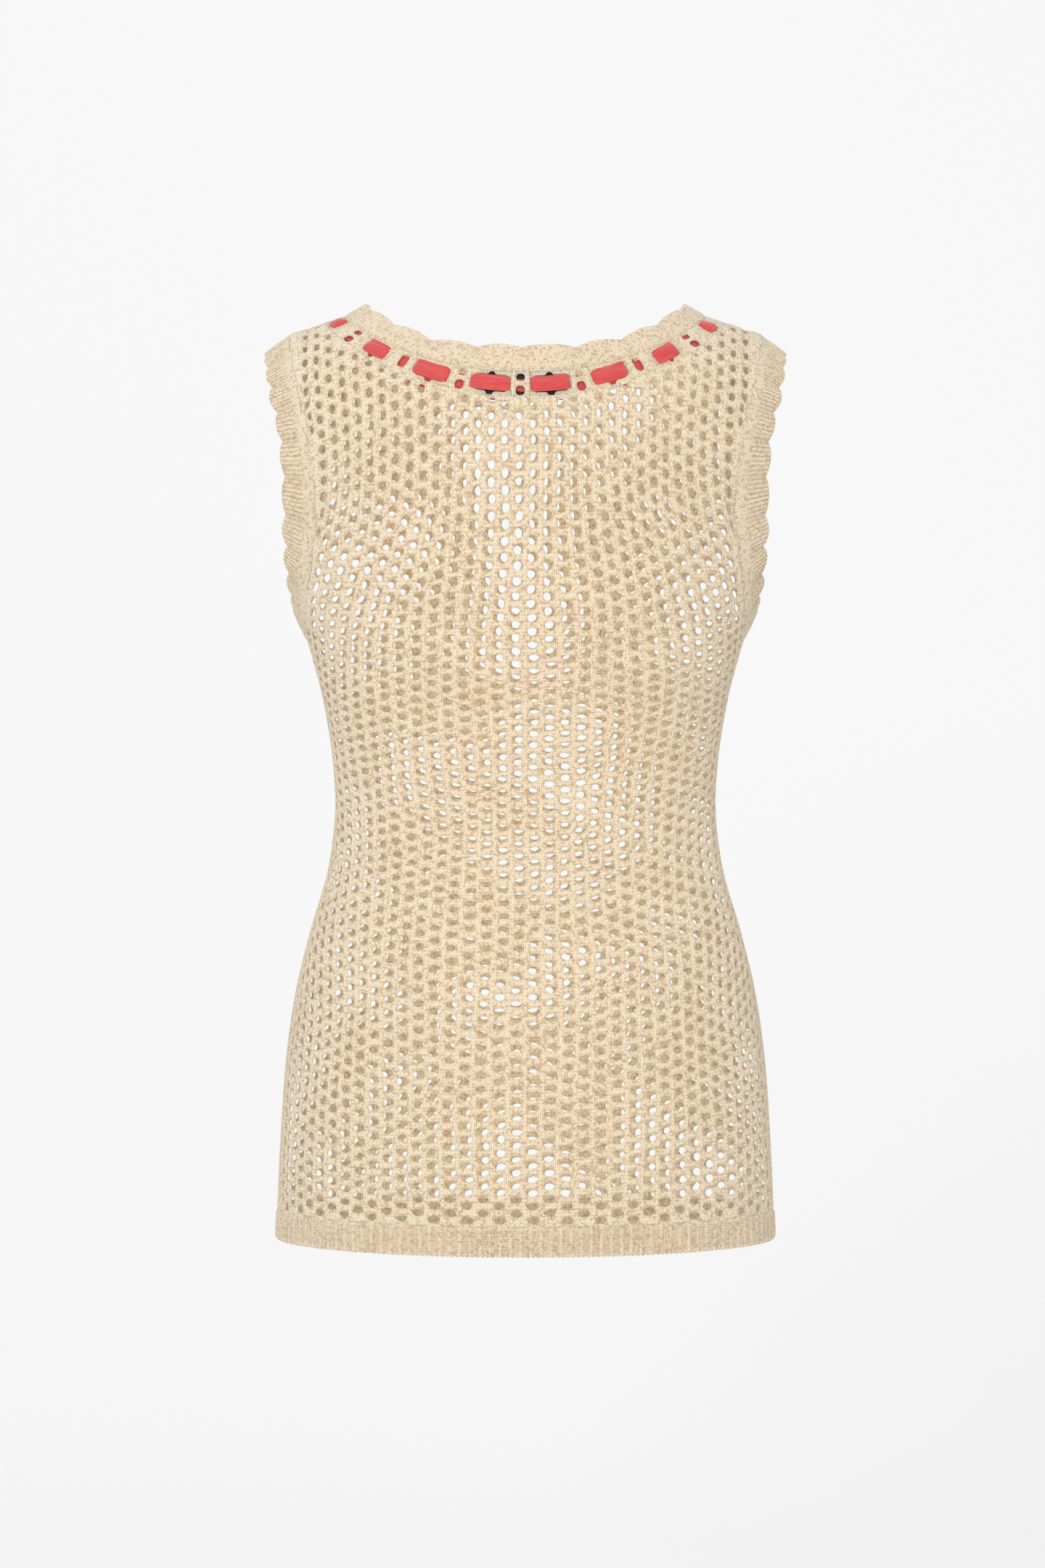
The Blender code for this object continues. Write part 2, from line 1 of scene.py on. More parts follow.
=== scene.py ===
"""Looks of a knit mesh tank top with a ribbon threaded round its neckline, as worn.

Metres, +Z up. The back of the garment faces -Y and its front faces +Y. The cloth is an open
net of stitches between scalloped trims, a ribbed hem and the threaded row under the neck trim.
"""

import logging
import math
from dataclasses import dataclass, field
from enum import Enum

import bmesh
import bpy
import numpy as np
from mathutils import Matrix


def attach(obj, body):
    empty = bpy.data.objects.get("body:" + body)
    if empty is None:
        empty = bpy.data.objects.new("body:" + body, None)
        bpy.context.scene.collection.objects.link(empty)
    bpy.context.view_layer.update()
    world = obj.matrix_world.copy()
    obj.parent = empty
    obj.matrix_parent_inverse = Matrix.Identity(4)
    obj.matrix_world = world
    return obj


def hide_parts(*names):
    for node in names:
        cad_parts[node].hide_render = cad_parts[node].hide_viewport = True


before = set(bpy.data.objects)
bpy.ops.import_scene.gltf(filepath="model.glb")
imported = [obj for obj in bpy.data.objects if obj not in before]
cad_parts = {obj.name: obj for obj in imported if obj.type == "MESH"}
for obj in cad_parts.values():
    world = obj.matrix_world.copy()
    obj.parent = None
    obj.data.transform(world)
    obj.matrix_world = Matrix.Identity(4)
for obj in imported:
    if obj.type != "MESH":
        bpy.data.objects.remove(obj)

LOG = logging.getLogger("tank_top")
Array = np.ndarray
MM = 0.001

# Heights of the hem and its rib band
HEM_BOTTOM = -613.5 * MM
HEM_SEAM = -595.0 * MM
HEM_DIP = 3.5 * MM

# Cross-sections of the worn cloth, from the hem to above the shoulders
SECTION_COLUMNS = ("height", "half_width", "back", "front", "fullness")
SECTIONS = (
    (-620.0, 167.0, 104.0, 97.0, 2.3),
    (-602.0, 166.5, 105.0, 98.0, 2.3),
    (-544.0, 164.0, 110.0, 99.0, 2.3),
    (-485.0, 159.5, 108.0, 98.0, 2.3),
    (-446.0, 153.5, 102.0, 96.0, 2.3),
    (-407.0, 144.0, 94.0, 93.0, 2.3),
    (-367.0, 132.5, 85.0, 90.0, 2.3),
    (-328.0, 127.5, 80.0, 89.0, 2.3),
    (-289.0, 129.5, 81.0, 92.0, 2.3),
    (-250.0, 136.0, 87.0, 101.0, 2.35),
    (-211.0, 146.5, 95.0, 109.0, 2.4),
    (-180.0, 156.5, 98.0, 111.0, 2.4),
    (-150.0, 163.0, 98.5, 108.0, 2.4),
    (-120.0, 169.0, 97.0, 100.0, 2.4),
    (-80.0, 177.0, 95.0, 89.0, 2.4),
    (-40.0, 184.0, 93.0, 81.0, 2.4),
    (20.0, 188.0, 92.0, 77.0, 2.4),
)

# Height of the shoulder line over its distance from the centre
SHOULDER_LINE_COLUMNS = ("reach", "height")
SHOULDER_LINE = (
    (0.0, 50.0),
    (60.0, 29.0),
    (108.0, 11.0),
    (121.0, 6.0),
    (135.0, 1.5),
    (151.0, -3.8),
    (155.5, -5.0),
    (163.0, -9.0),
    (174.0, -17.0),
    (195.0, -34.0),
)

# Free edge of an armhole trim, its distance from the centre over height
ARM_EDGE_COLUMNS = ("height", "reach")
ARM_EDGE = (
    (-193.0, 154.0),
    (-171.0, 157.5),
    (-152.0, 159.0),
    (-122.0, 159.5),
    (-93.0, 160.5),
    (-73.0, 163.0),
    (-54.0, 167.5),
    (-34.0, 171.5),
    (-19.0, 173.5),
)

# Soft folds of the slack cloth, each a shallow trough along a tilted line
FOLD_COLUMNS = ("side", "x", "z", "half_length", "half_width", "tilt", "depth")
FOLDS = (
    ("back", -82.0, -196.0, 62.0, 11.0, -24.0, 2.6),
    ("back", 78.0, -212.0, 58.0, 12.0, 22.0, 2.4),
    ("back", -34.0, -262.0, 55.0, 12.0, -9.0, 1.8),
    ("back", 40.0, -305.0, 60.0, 13.0, 8.0, 2.0),
    ("back", -66.0, -352.0, 52.0, 12.0, 14.0, 2.2),
    ("back", 70.0, -398.0, 50.0, 13.0, -18.0, 1.8),
    ("front", -80.0, -236.0, 56.0, 12.0, -20.0, 2.4),
    ("front", 84.0, -228.0, 60.0, 11.0, 24.0, 2.6),
    ("front", 30.0, -300.0, 58.0, 13.0, -8.0, 1.8),
    ("front", -46.0, -348.0, 54.0, 12.0, 10.0, 2.0),
    ("front", 62.0, -392.0, 52.0, 13.0, 16.0, 1.8),
)

# The net over its height: distance from course to course and from wale to wale at the
# centre, and how far a course rises from the centre to the side
NET_COLUMNS = ("height", "course", "wale", "rise")
NET = (
    (-600.0, 9.2, 11.1, 3.5),
    (-540.0, 9.2, 11.1, 8.0),
    (-470.0, 9.0, 10.9, 12.0),
    (-430.0, 8.8, 10.8, 16.0),
    (-385.0, 8.6, 10.4, 20.0),
    (-340.0, 8.1, 10.3, 20.0),
    (-300.0, 7.75, 10.8, 18.0),
    (-255.0, 7.7, 11.4, 12.0),
    (-210.0, 8.8, 11.2, 6.0),
    (-170.0, 10.3, 10.2, 1.0),
    (-125.0, 11.4, 9.1, -5.0),
    (-85.0, 11.6, 8.8, -14.0),
    (-40.0, 11.2, 8.7, -26.0),
    (70.0, 10.6, 8.7, -34.0),
)

# The holes of the net over its height, as shares of their cell
HOLE_COLUMNS = ("height", "width", "tall", "squareness", "point")
HOLES = (
    (-600.0, 0.65, 0.57, 2.1, 0.0),
    (-540.0, 0.65, 0.57, 2.0, 0.02),
    (-430.0, 0.62, 0.53, 1.9, 0.04),
    (-385.0, 0.62, 0.52, 1.9, 0.04),
    (-330.0, 0.61, 0.53, 1.9, 0.0),
    (-260.0, 0.60, 0.58, 1.9, 0.06),
    (-200.0, 0.58, 0.65, 2.0, 0.10),
    (-120.0, 0.57, 0.65, 1.9, 0.14),
    (-70.0, 0.52, 0.62, 2.0, 0.12),
    (-30.0, 0.44, 0.57, 2.1, 0.1),
    (70.0, 0.32, 0.40, 2.4, 0.0),
)

# The holes tried in turn for a cell that a seam cuts: how far the hole moves inwards and down,
# and its width and height, as shares
SEAM_HOLES = (
    (0.0, 0.0, 1.0, 1.0),
    (0.0, 0.25, 1.0, 0.75),
    (0.3, 0.0, 0.7, 1.0),
    (0.0, 0.45, 0.85, 0.5),
    (0.3, 0.3, 0.6, 0.6),
)


class Side(Enum):
    """Which half of the garment a piece belongs to."""

    BACK = "back"
    FRONT = "front"

    @property
    def sign(self) -> float:
        """Direction along Y in which this side faces."""
        return -1.0 if self is Side.BACK else 1.0


class Slot(Enum):
    """The material slots of the record."""

    MESH = "mesh_knit"
    TRIM = "trim_knit"
    RIBBON = "red_ribbon"
    LABEL = "black_label"


def column(table: tuple, names: tuple, name: str) -> Array:
    """One named column of a table of numbers.

    Args:
        table: Rows of values.
        names: The names of the columns.
        name: The column to return.

    Returns:
        Its values.
    """
    return np.array([row[names.index(name)] for row in table], float)


def smooth_curve(where: Array, knots: Array, values: Array) -> Array:
    """A smooth curve through the knots, which keeps its end values beyond them.

    Args:
        where: Places to read.
        knots: Rising places of the knots.
        values: Values at the knots.

    Returns:
        The curve's values.
    """
    slopes = np.gradient(values, knots)
    where = np.clip(where, knots[0], knots[-1])
    i = np.clip(np.searchsorted(knots, where) - 1, 0, len(knots) - 2)
    width = knots[i + 1] - knots[i]
    k = (where - knots[i]) / width
    return (
        (2 * k**3 - 3 * k**2 + 1) * values[i]
        + (k**3 - 2 * k**2 + k) * width * slopes[i]
        + (3 * k**2 - 2 * k**3) * values[i + 1]
        + (k**3 - k**2) * width * slopes[i + 1]
    )


def ease(k: Array) -> Array:
    """Rises smoothly from 0 to 1."""
    k = np.clip(k, 0.0, 1.0)
    return k * k * (3 - 2 * k)


def unit(vectors: Array) -> Array:
    """The same directions, one long."""
    return vectors / np.maximum(np.linalg.norm(vectors, axis=-1, keepdims=True), 1e-12)


def adding_up(steps: Array) -> Array:
    """Running sum of the steps, from 0."""
    return np.concatenate([[0.0], np.cumsum(steps)])


def loop_steps(points: Array) -> Array:
    """Distances from each point of a closed loop to the next."""
    return np.linalg.norm(np.roll(points, -1, axis=0) - points, axis=-1)


def loop_directions(points: Array) -> Array:
    """Directions of a closed loop at its points."""
    return unit(np.roll(points, -1, axis=0) - np.roll(points, 1, axis=0))


def turns_round(count: int) -> Array:
    """Even turns once round, from 0."""
    return np.arange(count) * 2 * math.pi / count


def sine_waves(turn: Array, waves: tuple, phases: Array) -> Array:
    """A sum of sine waves round a loop.

    Args:
        turn: Turns round it.
        waves: Each wave's height and times round.
        phases: Where each wave starts.

    Returns:
        The sum at those turns.
    """
    parts = zip(waves, phases)
    return sum(height * np.sin(times * turn + phase) for (height, times), phase in parts)


def rounded_square(x: float, y: float, squareness: float) -> float:
    """How much a place on a square's edge shrinks to lie on a rounded square."""
    spread = (abs(x) ** squareness + abs(y) ** squareness) ** (1 / squareness)
    return max(abs(x), abs(y)) / spread


def grid_lookup(table: Array, rows: Array, columns: Array, row: Array, col: Array) -> Array:
    """Values between the entries of a table whose rows and columns are evenly spaced.

    Args:
        table: Values, a row for each entry of rows.
        rows: Evenly spaced places of the rows.
        columns: Evenly spaced places of the columns.
        row: Places to read along the rows.
        col: Places to read along the columns.

    Returns:
        The values read.
    """
    r = np.clip((row - rows[0]) / (rows[1] - rows[0]), 0, len(rows) - 1.001)
    c = np.clip((col - columns[0]) / (columns[1] - columns[0]), 0, len(columns) - 1.001)
    i, j = r.astype(int), c.astype(int)
    r, c = r - i, c - j
    low = table[i, j] * (1 - c) + table[i, j + 1] * c
    high = table[i + 1, j] * (1 - c) + table[i + 1, j + 1] * c
    return low * (1 - r) + high * r


@dataclass(frozen=True)
class WornForm:
    """The smooth shape of the worn cloth, halfway through its thickness."""

    rounding_middle: dict = field(
        default_factory=lambda: {Side.BACK: 150.0 * MM, Side.FRONT: 130.0 * MM}
    )
    rounding_tip: dict = field(
        default_factory=lambda: {Side.BACK: 90.0 * MM, Side.FRONT: 85.0 * MM}
    )
    shoulder_tip: float = 155.5 * MM
    nearest_arm: float = 90.0 * MM
    least_depth: float = 0.02 * MM
    gradient_step: float = 0.01 * MM
    halvings: int = 44
    widest_tip: float = 1.2
    fold_fade: float = 1.5

    def section(self, z: Array, name: str) -> Array:
        """A size of the cross-section.

        Args:
            z: Heights.
            name: The size's column.

        Returns:
            Its values at those heights.
        """
        scale = 1.0 if name == "fullness" else MM
        knots = column(SECTIONS, SECTION_COLUMNS, "height") * MM
        return smooth_curve(z, knots, column(SECTIONS, SECTION_COLUMNS, name) * scale)

    def shoulder_height(self, x: Array) -> Array:
        """Height of the shoulder line.

        Args:
            x: Distances from the centre.

        Returns:
            Its heights there.
        """
        knots = column(SHOULDER_LINE, SHOULDER_LINE_COLUMNS, "reach") * MM
        heights = column(SHOULDER_LINE, SHOULDER_LINE_COLUMNS, "height") * MM
        return smooth_curve(np.abs(x), knots, heights)

    def level(self, side: Side, x: Array, y: Array, z: Array) -> Array:
        """Which places are inside the worn form.

        Args:
            side: Which half of the garment.
            x: Distances to the right of the centre.
            y: Distances from the plane of the side seams.
            z: Heights.

        Returns:
            Values below 0 inside it, 0 on its surface and above 0 outside.
        """
        reach = np.clip(np.abs(x) / self.section(z, "half_width"), 0.0, 1.0)
        fullness = self.section(z, "fullness")
        across = (1.0 - reach**fullness) ** (2.0 / fullness)
        middle, tip = self.rounding_middle[side], self.rounding_tip[side]
        towards_tip = np.minimum(np.abs(x) / self.shoulder_tip, self.widest_tip)
        rounding = middle + (tip - middle) * towards_tip**2
        below = np.minimum((self.shoulder_height(x) - z) / rounding, 1.0)
        up = 1.0 - (1.0 - below) ** 2
        return (y / self.section(z, side.value)) ** 2 - across * up

    def depth(self, side: Side, x: Array, z: Array) -> Array:
        """Distance of the surface from the plane of the side seams."""
        inside = np.maximum(-self.level(side, x, np.zeros(np.shape(x)), z), 0.0)
        return self.section(z, side.value) * np.sqrt(inside)

    def reach(self, side: Side, y: Array, z: Array) -> Array:
        """Where the surface lies at a given depth, found by halving.

        Args:
            side: Which half of the garment.
            y: Depths from the plane of the side seams.
            z: Heights.

        Returns:
            Its distances from the centre.
        """
        near = np.full(np.shape(y), self.nearest_arm)
        far = self.section(z, "half_width")
        for _ in range(self.halvings):
            middle = (near + far) / 2
            outside = self.depth(side, middle, z) < np.maximum(np.abs(y), self.least_depth)
            far = np.where(outside, middle, far)
            near = np.where(outside, near, middle)
        return (near + far) / 2

    def normal(self, side: Side, points: Array) -> Array:
        """Outward directions of the surface.

        Args:
            side: Which half of the garment.
            points: Points on or near it.

        Returns:
            The directions, one long.
        """
        step = self.gradient_step
        x, y, z = points[..., 0], points[..., 1], points[..., 2]
        slope = [
            self.level(side, x + step, y, z) - self.level(side, x - step, y, z),
            self.level(side, x, y + step, z) - self.level(side, x, y - step, z),
            self.level(side, x, y, z + step) - self.level(side, x, y, z - step),
        ]
        return unit(np.stack(slope, axis=-1))

    def fold_depth(self, side: Side, points: Array) -> Array:
        """How far the soft folds sink the cloth inwards.

        Args:
            side: Which half of the garment.
            points: Points of its surface.

        Returns:
            The depths there.
        """
        sunk = np.zeros(points.shape[:-1])
        for fold in FOLDS:
            row = dict(zip(FOLD_COLUMNS, fold))
            if row["side"] != side.value:
                continue
            tilt = math.radians(row["tilt"])
            dx = points[..., 0] / MM - row["x"]
            dz = points[..., 2] / MM - row["z"]
            along = (dx * math.cos(tilt) + dz * math.sin(tilt)) / row["half_length"]
            across = (dz * math.cos(tilt) - dx * math.sin(tilt)) / row["half_width"]
            sunk += row["depth"] * MM * np.exp(-(along**2) * self.fold_fade - across**2)
        return sunk

    def on_skin(self, side: Side, x: Array, z: Array) -> tuple[Array, Array]:
        """Points of the surface for places in the front view.

        Args:
            side: Which half of the garment.
            x: Distances to the right of the centre.
            z: Heights.

        Returns:
            The points and their outward directions.
        """
        points = np.stack([x, side.sign * self.depth(side, x, z), z], axis=-1)
        normals = self.normal(side, points)
        return points - normals * self.fold_depth(side, points)[..., None], normals


@dataclass(frozen=True)
class Neckline:
    """The lines round the neck, from the centre back over the +X shoulder."""

    form: WornForm
    half_width: float = 121.0 * MM
    row_height: float = 14.0 * MM
    drops: dict = field(default_factory=lambda: {Side.BACK: 43.0 * MM, Side.FRONT: 36.0 * MM})
    row_drop: float = 13.0 * MM
    bend: float = 1.6
    edge_half_width: float = 108.0 * MM
    edge_height: float = 12.5 * MM
    edge_drops: dict = field(
        default_factory=lambda: {Side.BACK: 33.5 * MM, Side.FRONT: 26.5 * MM}
    )
    edge_bend: float = 3.0
    edge_lean: float = 6.0 * MM
    centre_pace: float = 0.87
    fine_steps: int = 1201

    def line(self, turn: Array, down: float) -> tuple[Array, Array]:
        """The line that lies a share down of the threaded row below the trim's seam.

        Args:
            turn: Turns round the neck, 0 at the centre back.
            down: 0 at the seam of the neck trim and 1 at the foot of the threaded row.

        Returns:
            Its points and their outward directions.
        """
        half_width = self.half_width + self.row_height * down
        x = half_width * np.sin(turn)
        top = self.form.shoulder_height(np.full(1, half_width))[0]
        points, normals = np.zeros((len(turn), 3)), np.zeros((len(turn), 3))
        for side, drop in self.drops.items():
            mine = (np.cos(turn) >= 0.0) == (side is Side.BACK)
            z = top - (drop + self.row_drop * down) * np.abs(np.cos(turn[mine])) ** self.bend
            points[mine], normals[mine] = self.form.on_skin(side, x[mine], z)
        return points, normals

    def foot_height(self, side: Side, x: Array, down: float) -> Array:
        """Height of such a line over the distance from the centre.

        Args:
            side: Which half of the garment.
            x: Distances from the centre.
            down: 0 at the seam of the neck trim and 1 at the foot of the threaded row.

        Returns:
            Its heights, and a height far above the garment beside the line.
        """
        half_width = self.half_width + self.row_height * down
        top = self.form.shoulder_height(np.full(1, half_width))[0]
        turned = np.sqrt(np.maximum(1.0 - (x / half_width) ** 2, 0.0))
        z = top - (self.drops[side] + self.row_drop * down) * turned**self.bend
        return np.where(np.abs(x) < half_width, z, 1.0)

    def free_edge(self, turn: Array, seam: Array) -> Array:
        """The top edge of the neck trim before its scallops, which leans in over the neck.

        Args:
            turn: Turns round the neck.
            seam: Points of the trim's seam at those turns.

        Returns:
            The edge's points.
        """
        across = np.sin(turn)
        back, front = self.edge_drops[Side.BACK], self.edge_drops[Side.FRONT]
        drop = np.where(np.cos(turn) >= 0.0, back, front)
        z = self.edge_height - drop * (1 - np.abs(across) ** self.edge_bend)
        y = seam[:, 1] + self.edge_lean * np.cos(turn)
        return np.stack([self.edge_half_width * across, y, z], axis=-1)

    def length(self, down: float = 0.5) -> float:
        """Length of the line at this share of the threaded row."""
        line, _ = self.line(np.linspace(0.0, 2 * math.pi, self.fine_steps)[:-1], down)
        return float(loop_steps(line).sum())

    def turns(self, shares: Array) -> Array:
        """Turns for shares of the way round, a little closer at the centres.

        Args:
            shares: Shares of the way round from the centre back.

        Returns:
            The turns.
        """
        fine = np.linspace(0.0, math.pi, self.fine_steps)
        line, _ = self.line(fine, 0.5)
        length = adding_up(np.linalg.norm(np.diff(line, axis=0), axis=-1))
        back = np.interp(math.pi / 2, fine, length)
        nearest = np.mod(shares + 0.5, 1.0) - 0.5
        quarter = 1 - np.abs(1 - 4 * np.abs(nearest))
        pace = self.centre_pace * quarter + (1 - self.centre_pace) * quarter**3
        on_back = np.abs(nearest) <= 0.25
        along = np.where(on_back, back * pace, length[-1] - (length[-1] - back) * pace)
        return np.sign(nearest) * np.interp(along, length, fine)


@dataclass(frozen=True)
class Armhole:
    """The lines round one armhole, from the underarm up the back."""

    form: WornForm
    centre: float = -109.0 * MM
    half_height: float = 104.0 * MM
    half_depth: float = 66.0 * MM
    edge_centre: float = -106.0 * MM
    edge_half_height: float = 87.0 * MM
    edge_half_depth: float = 56.0 * MM

    def seam(self, turn: Array) -> tuple[Array, Array]:
        """The seam between the trim and the net, on the +X side.

        Args:
            turn: Turns round the armhole, from the underarm up the back.

        Returns:
            Its points and their outward directions.
        """
        points, normals = np.zeros((len(turn), 3)), np.zeros((len(turn), 3))
        for side in Side:
            mine = (np.sin(turn) >= 0.0) == (side is Side.BACK)
            y = -self.half_depth * np.sin(turn[mine])
            z = self.centre - self.half_height * np.cos(turn[mine])
            points[mine], normals[mine] = self.form.on_skin(side, self.form.reach(side, y, z), z)
        return points, normals

    def free_edge(self, turn: Array) -> Array:
        """The free edge of the trim on the +X side, before its scallops.

        Args:
            turn: Turns round the armhole, from the underarm up the back.

        Returns:
            Its points.
        """
        z = self.edge_centre - self.edge_half_height * np.cos(turn)
        heights = column(ARM_EDGE, ARM_EDGE_COLUMNS, "height") * MM
        reach = smooth_curve(z, heights, column(ARM_EDGE, ARM_EDGE_COLUMNS, "reach") * MM)
        return np.stack([reach, -self.edge_half_depth * np.sin(turn), z], axis=-1)

    def share(self, y: Array, z: Array) -> Array:
        """1 on the seam in the side view, less inside the armhole and more outside it."""
        return np.hypot(y / self.half_depth, (z - self.centre) / self.half_height)


class NodeSheet:
    """Adds shader nodes to a tree and joins them."""

    def __init__(self, tree: bpy.types.NodeTree) -> None:
        """Starts on a node tree."""
        self.tree = tree

    def add(self, kind: str, inputs: dict | None = None, **settings: object) -> bpy.types.Node:
        """Adds a node.

        Args:
            kind: The node's type.
            inputs: Values or sockets for its inputs, by name or number.
            settings: Values of its properties.

        Returns:
            The new node.
        """
        node = self.tree.nodes.new(kind)
        for name, value in settings.items():
            setattr(node, name, value)
        for name, value in (inputs or {}).items():
            if isinstance(value, bpy.types.NodeSocket):
                self.tree.links.new(value, node.inputs[name])
            else:
                node.inputs[name].default_value = value
        return node

    def math(self, operation: str, *values: object) -> bpy.types.NodeSocket:
        """The result of a Math node on values or sockets."""
        node = self.add("ShaderNodeMath", dict(enumerate(values)), operation=operation)
        return node.outputs[0]

    def group(self, group: bpy.types.NodeTree, inputs: dict) -> bpy.types.Node:
        """Places a node group with these inputs."""
        return self.add("ShaderNodeGroup", inputs, node_tree=group)

    def noise(
        self, place: bpy.types.NodeSocket, scale: float, detail: float, roughness: float = 0.5
    ) -> bpy.types.NodeSocket:
        """The values of a Noise Texture node, from 0 to 1.

        Args:
            place: The places where it is read.
            scale: How fine it is.
            detail: How many finer layers it has.
            roughness: How strong they are.

        Returns:
            The socket with its values.
        """
        inputs = {"Vector": place, "Scale": scale, "Detail": detail, "Roughness": roughness}
        return self.add("ShaderNodeTexNoise", inputs).outputs["Fac"]

    def blend(self, share: object, low: object, high: object) -> bpy.types.NodeSocket:
        """A colour between two colours, kept between them.

        Args:
            share: 0 for the first colour and 1 for the second.
            low: The first colour.
            high: The second colour.

        Returns:
            The socket with the colour.
        """
        kept = self.add("ShaderNodeClamp", {"Value": share}).outputs[0]
        inputs = {"Factor": kept, "A": low, "B": high}
        return self.add("ShaderNodeMix", inputs, data_type="RGBA").outputs[2]

    def bumps(self, *layers: tuple[bpy.types.NodeSocket, float]) -> bpy.types.NodeSocket:
        """A normal raised by layers of relief, each on the one before it.

        Args:
            layers: Each layer's heights and the distance of its full height.

        Returns:
            The socket with the normal.
        """
        normal = None
        for height, distance in layers:
            inputs = {"Height": height, "Distance": distance, "Strength": 1.0}
            if normal:
                inputs["Normal"] = normal
            normal = self.add("ShaderNodeBump", inputs).outputs["Normal"]
        return normal


def new_material(name: str) -> tuple[bpy.types.Material, NodeSheet, bpy.types.Node]:
    """Starts a material.

    Args:
        name: Its name.

    Returns:
        The material, the sheet that adds its nodes, and its shader.
    """
    made = bpy.data.materials.new(name)
    made.use_nodes = True
    return made, NodeSheet(made.node_tree), made.node_tree.nodes["Principled BSDF"]


def set_constants(shader: bpy.types.Node, values: dict) -> None:
    """Sets constant numbers and colours on the shader's own sockets, by name."""
    for name, value in values.items():
        shader.inputs[name].default_value = value


def new_group(name: str, inputs: dict, outputs: dict) -> tuple[bpy.types.NodeTree, NodeSheet]:
    """Starts a shader node group.

    Args:
        name: Its name.
        inputs: Socket kinds by name.
        outputs: Socket kinds by name.

    Returns:
        The group and the sheet that adds its nodes.
    """
    group = bpy.data.node_groups.new(name, "ShaderNodeTree")
    for label, kind in inputs.items():
        group.interface.new_socket(label, in_out="INPUT", socket_type=f"NodeSocket{kind}")
    for label, kind in outputs.items():
        group.interface.new_socket(label, in_out="OUTPUT", socket_type=f"NodeSocket{kind}")
    return group, NodeSheet(group)


@dataclass(frozen=True)
class StitchRelief:
    """The relief of knitted stitches, V shapes that turn into ridges where Ridged is 1."""

    wander_scale: float = 0.45
    wander_detail: float = 2.0
    stitch_roundness: float = 0.55
    ridge_roundness: float = 0.8

    def group(self) -> bpy.types.NodeTree:
        """Makes the node group.

        Returns:
            A group that takes the place in stitches and gives the height from 0 to 1.
        """
        group, sheet = new_group(
            "knit_stitches",
            {"Place": "Vector", "Ridged": "Float", "Lean": "Float", "Wander": "Float"},
            {"Height": "Float"},
        )
        source = sheet.add("NodeGroupInput").outputs
        moved = sheet.noise(source["Place"], self.wander_scale, self.wander_detail)
        moved = sheet.math("MULTIPLY", sheet.math("SUBTRACT", moved, 0.5), source["Wander"])
        place = sheet.add("ShaderNodeSeparateXYZ", {"Vector": source["Place"]})
        within = sheet.math("FRACT", sheet.math("ADD", place.outputs["X"], moved))
        along = sheet.math("ADD", place.outputs["Y"], moved)
        leg = sheet.math("ABSOLUTE", sheet.math("SUBTRACT", within, 0.5))
        leg = sheet.math("MULTIPLY", leg, 2.0)
        drawn = sheet.math("MULTIPLY", leg, source["Lean"])
        step = sheet.math("FRACT", sheet.math("SUBTRACT", along, drawn))
        round_leg = sheet.math("SINE", sheet.math("MULTIPLY", leg, math.pi))
        round_step = sheet.math("SINE", sheet.math("MULTIPLY", step, math.pi))
        stitch = sheet.math("MULTIPLY", round_leg, round_step)
        stitch = sheet.math("POWER", stitch, self.stitch_roundness)
        ridge = sheet.math("SINE", sheet.math("MULTIPLY", within, math.pi))
        ridge = sheet.math("POWER", ridge, self.ridge_roundness)
        mixed = sheet.add(
            "ShaderNodeMix",
            {"Factor": source["Ridged"], "A": stitch, "B": ridge},
            data_type="FLOAT",
        )
        sheet.add("NodeGroupOutput", {"Height": mixed.outputs[0]})
        return group


@dataclass(frozen=True)
class PliedYarn:
    """The colour of plied yarn: painted shade between its stitches and where the Shade input gives
    it, with soft blotches and fibres.
    """

    fibre_scale: float = 1400.0
    fibre_roughness: float = 0.6
    blotch_scale: float = 55.0
    blotch_roughness: float = 0.55
    detail: float = 3.0
    pit_scale: float = 460.0
    pit_detail: float = 2.0
    pit_start: float = 0.50
    pit_end: float = 0.68
    pit_shade: float = 0.95
    fleck_shade: float = 0.35

    def group(self) -> bpy.types.NodeTree:
        """Makes the node group.

        Returns:
            A group that gives the colour and the fine height of the fibres.
        """
        values = dict.fromkeys(("Height", "Depth", "Blotch", "Shade"), "Float")
        colours = dict.fromkeys(("Light", "Deep"), "Color")
        group, sheet = new_group(
            "plied_yarn",
            {"Place": "Vector"} | values | colours,
            {"Color": "Color", "Fibre": "Float"},
        )
        source = sheet.add("NodeGroupInput").outputs
        place = source["Place"]
        fibre = sheet.noise(place, self.fibre_scale, self.detail, self.fibre_roughness)
        blotch = sheet.noise(place, self.blotch_scale, self.detail, self.blotch_roughness)
        pits = sheet.noise(place, self.pit_scale, self.pit_detail)
        pit = sheet.add(
            "ShaderNodeMapRange",
            {"Value": pits, 1: self.pit_start, 2: self.pit_end, 3: 0.0, 4: self.pit_shade},
        )
        # Painted shade: darker towards the deep colour where the stitches' relief is low, between
        # them, plus the painted shade of the Shade input
        low = sheet.math("SUBTRACT", 1.0, source["Height"])
        shade = sheet.math("MULTIPLY", low, source["Depth"])
        shade = sheet.math("ADD", sheet.math("ADD", shade, pit.outputs[0]), source["Shade"])
        flecks = sheet.math("SUBTRACT", fibre, 0.5)
        shade = sheet.math("ADD", shade, sheet.math("MULTIPLY", flecks, self.fleck_shade))
        patches = sheet.math("SUBTRACT", blotch, 0.5)
        shade = sheet.math("ADD", shade, sheet.math("MULTIPLY", patches, source["Blotch"]))
        colour = sheet.blend(shade, source["Light"], source["Deep"])
        sheet.add("NodeGroupOutput", {"Color": colour, "Fibre": fibre})
        return group


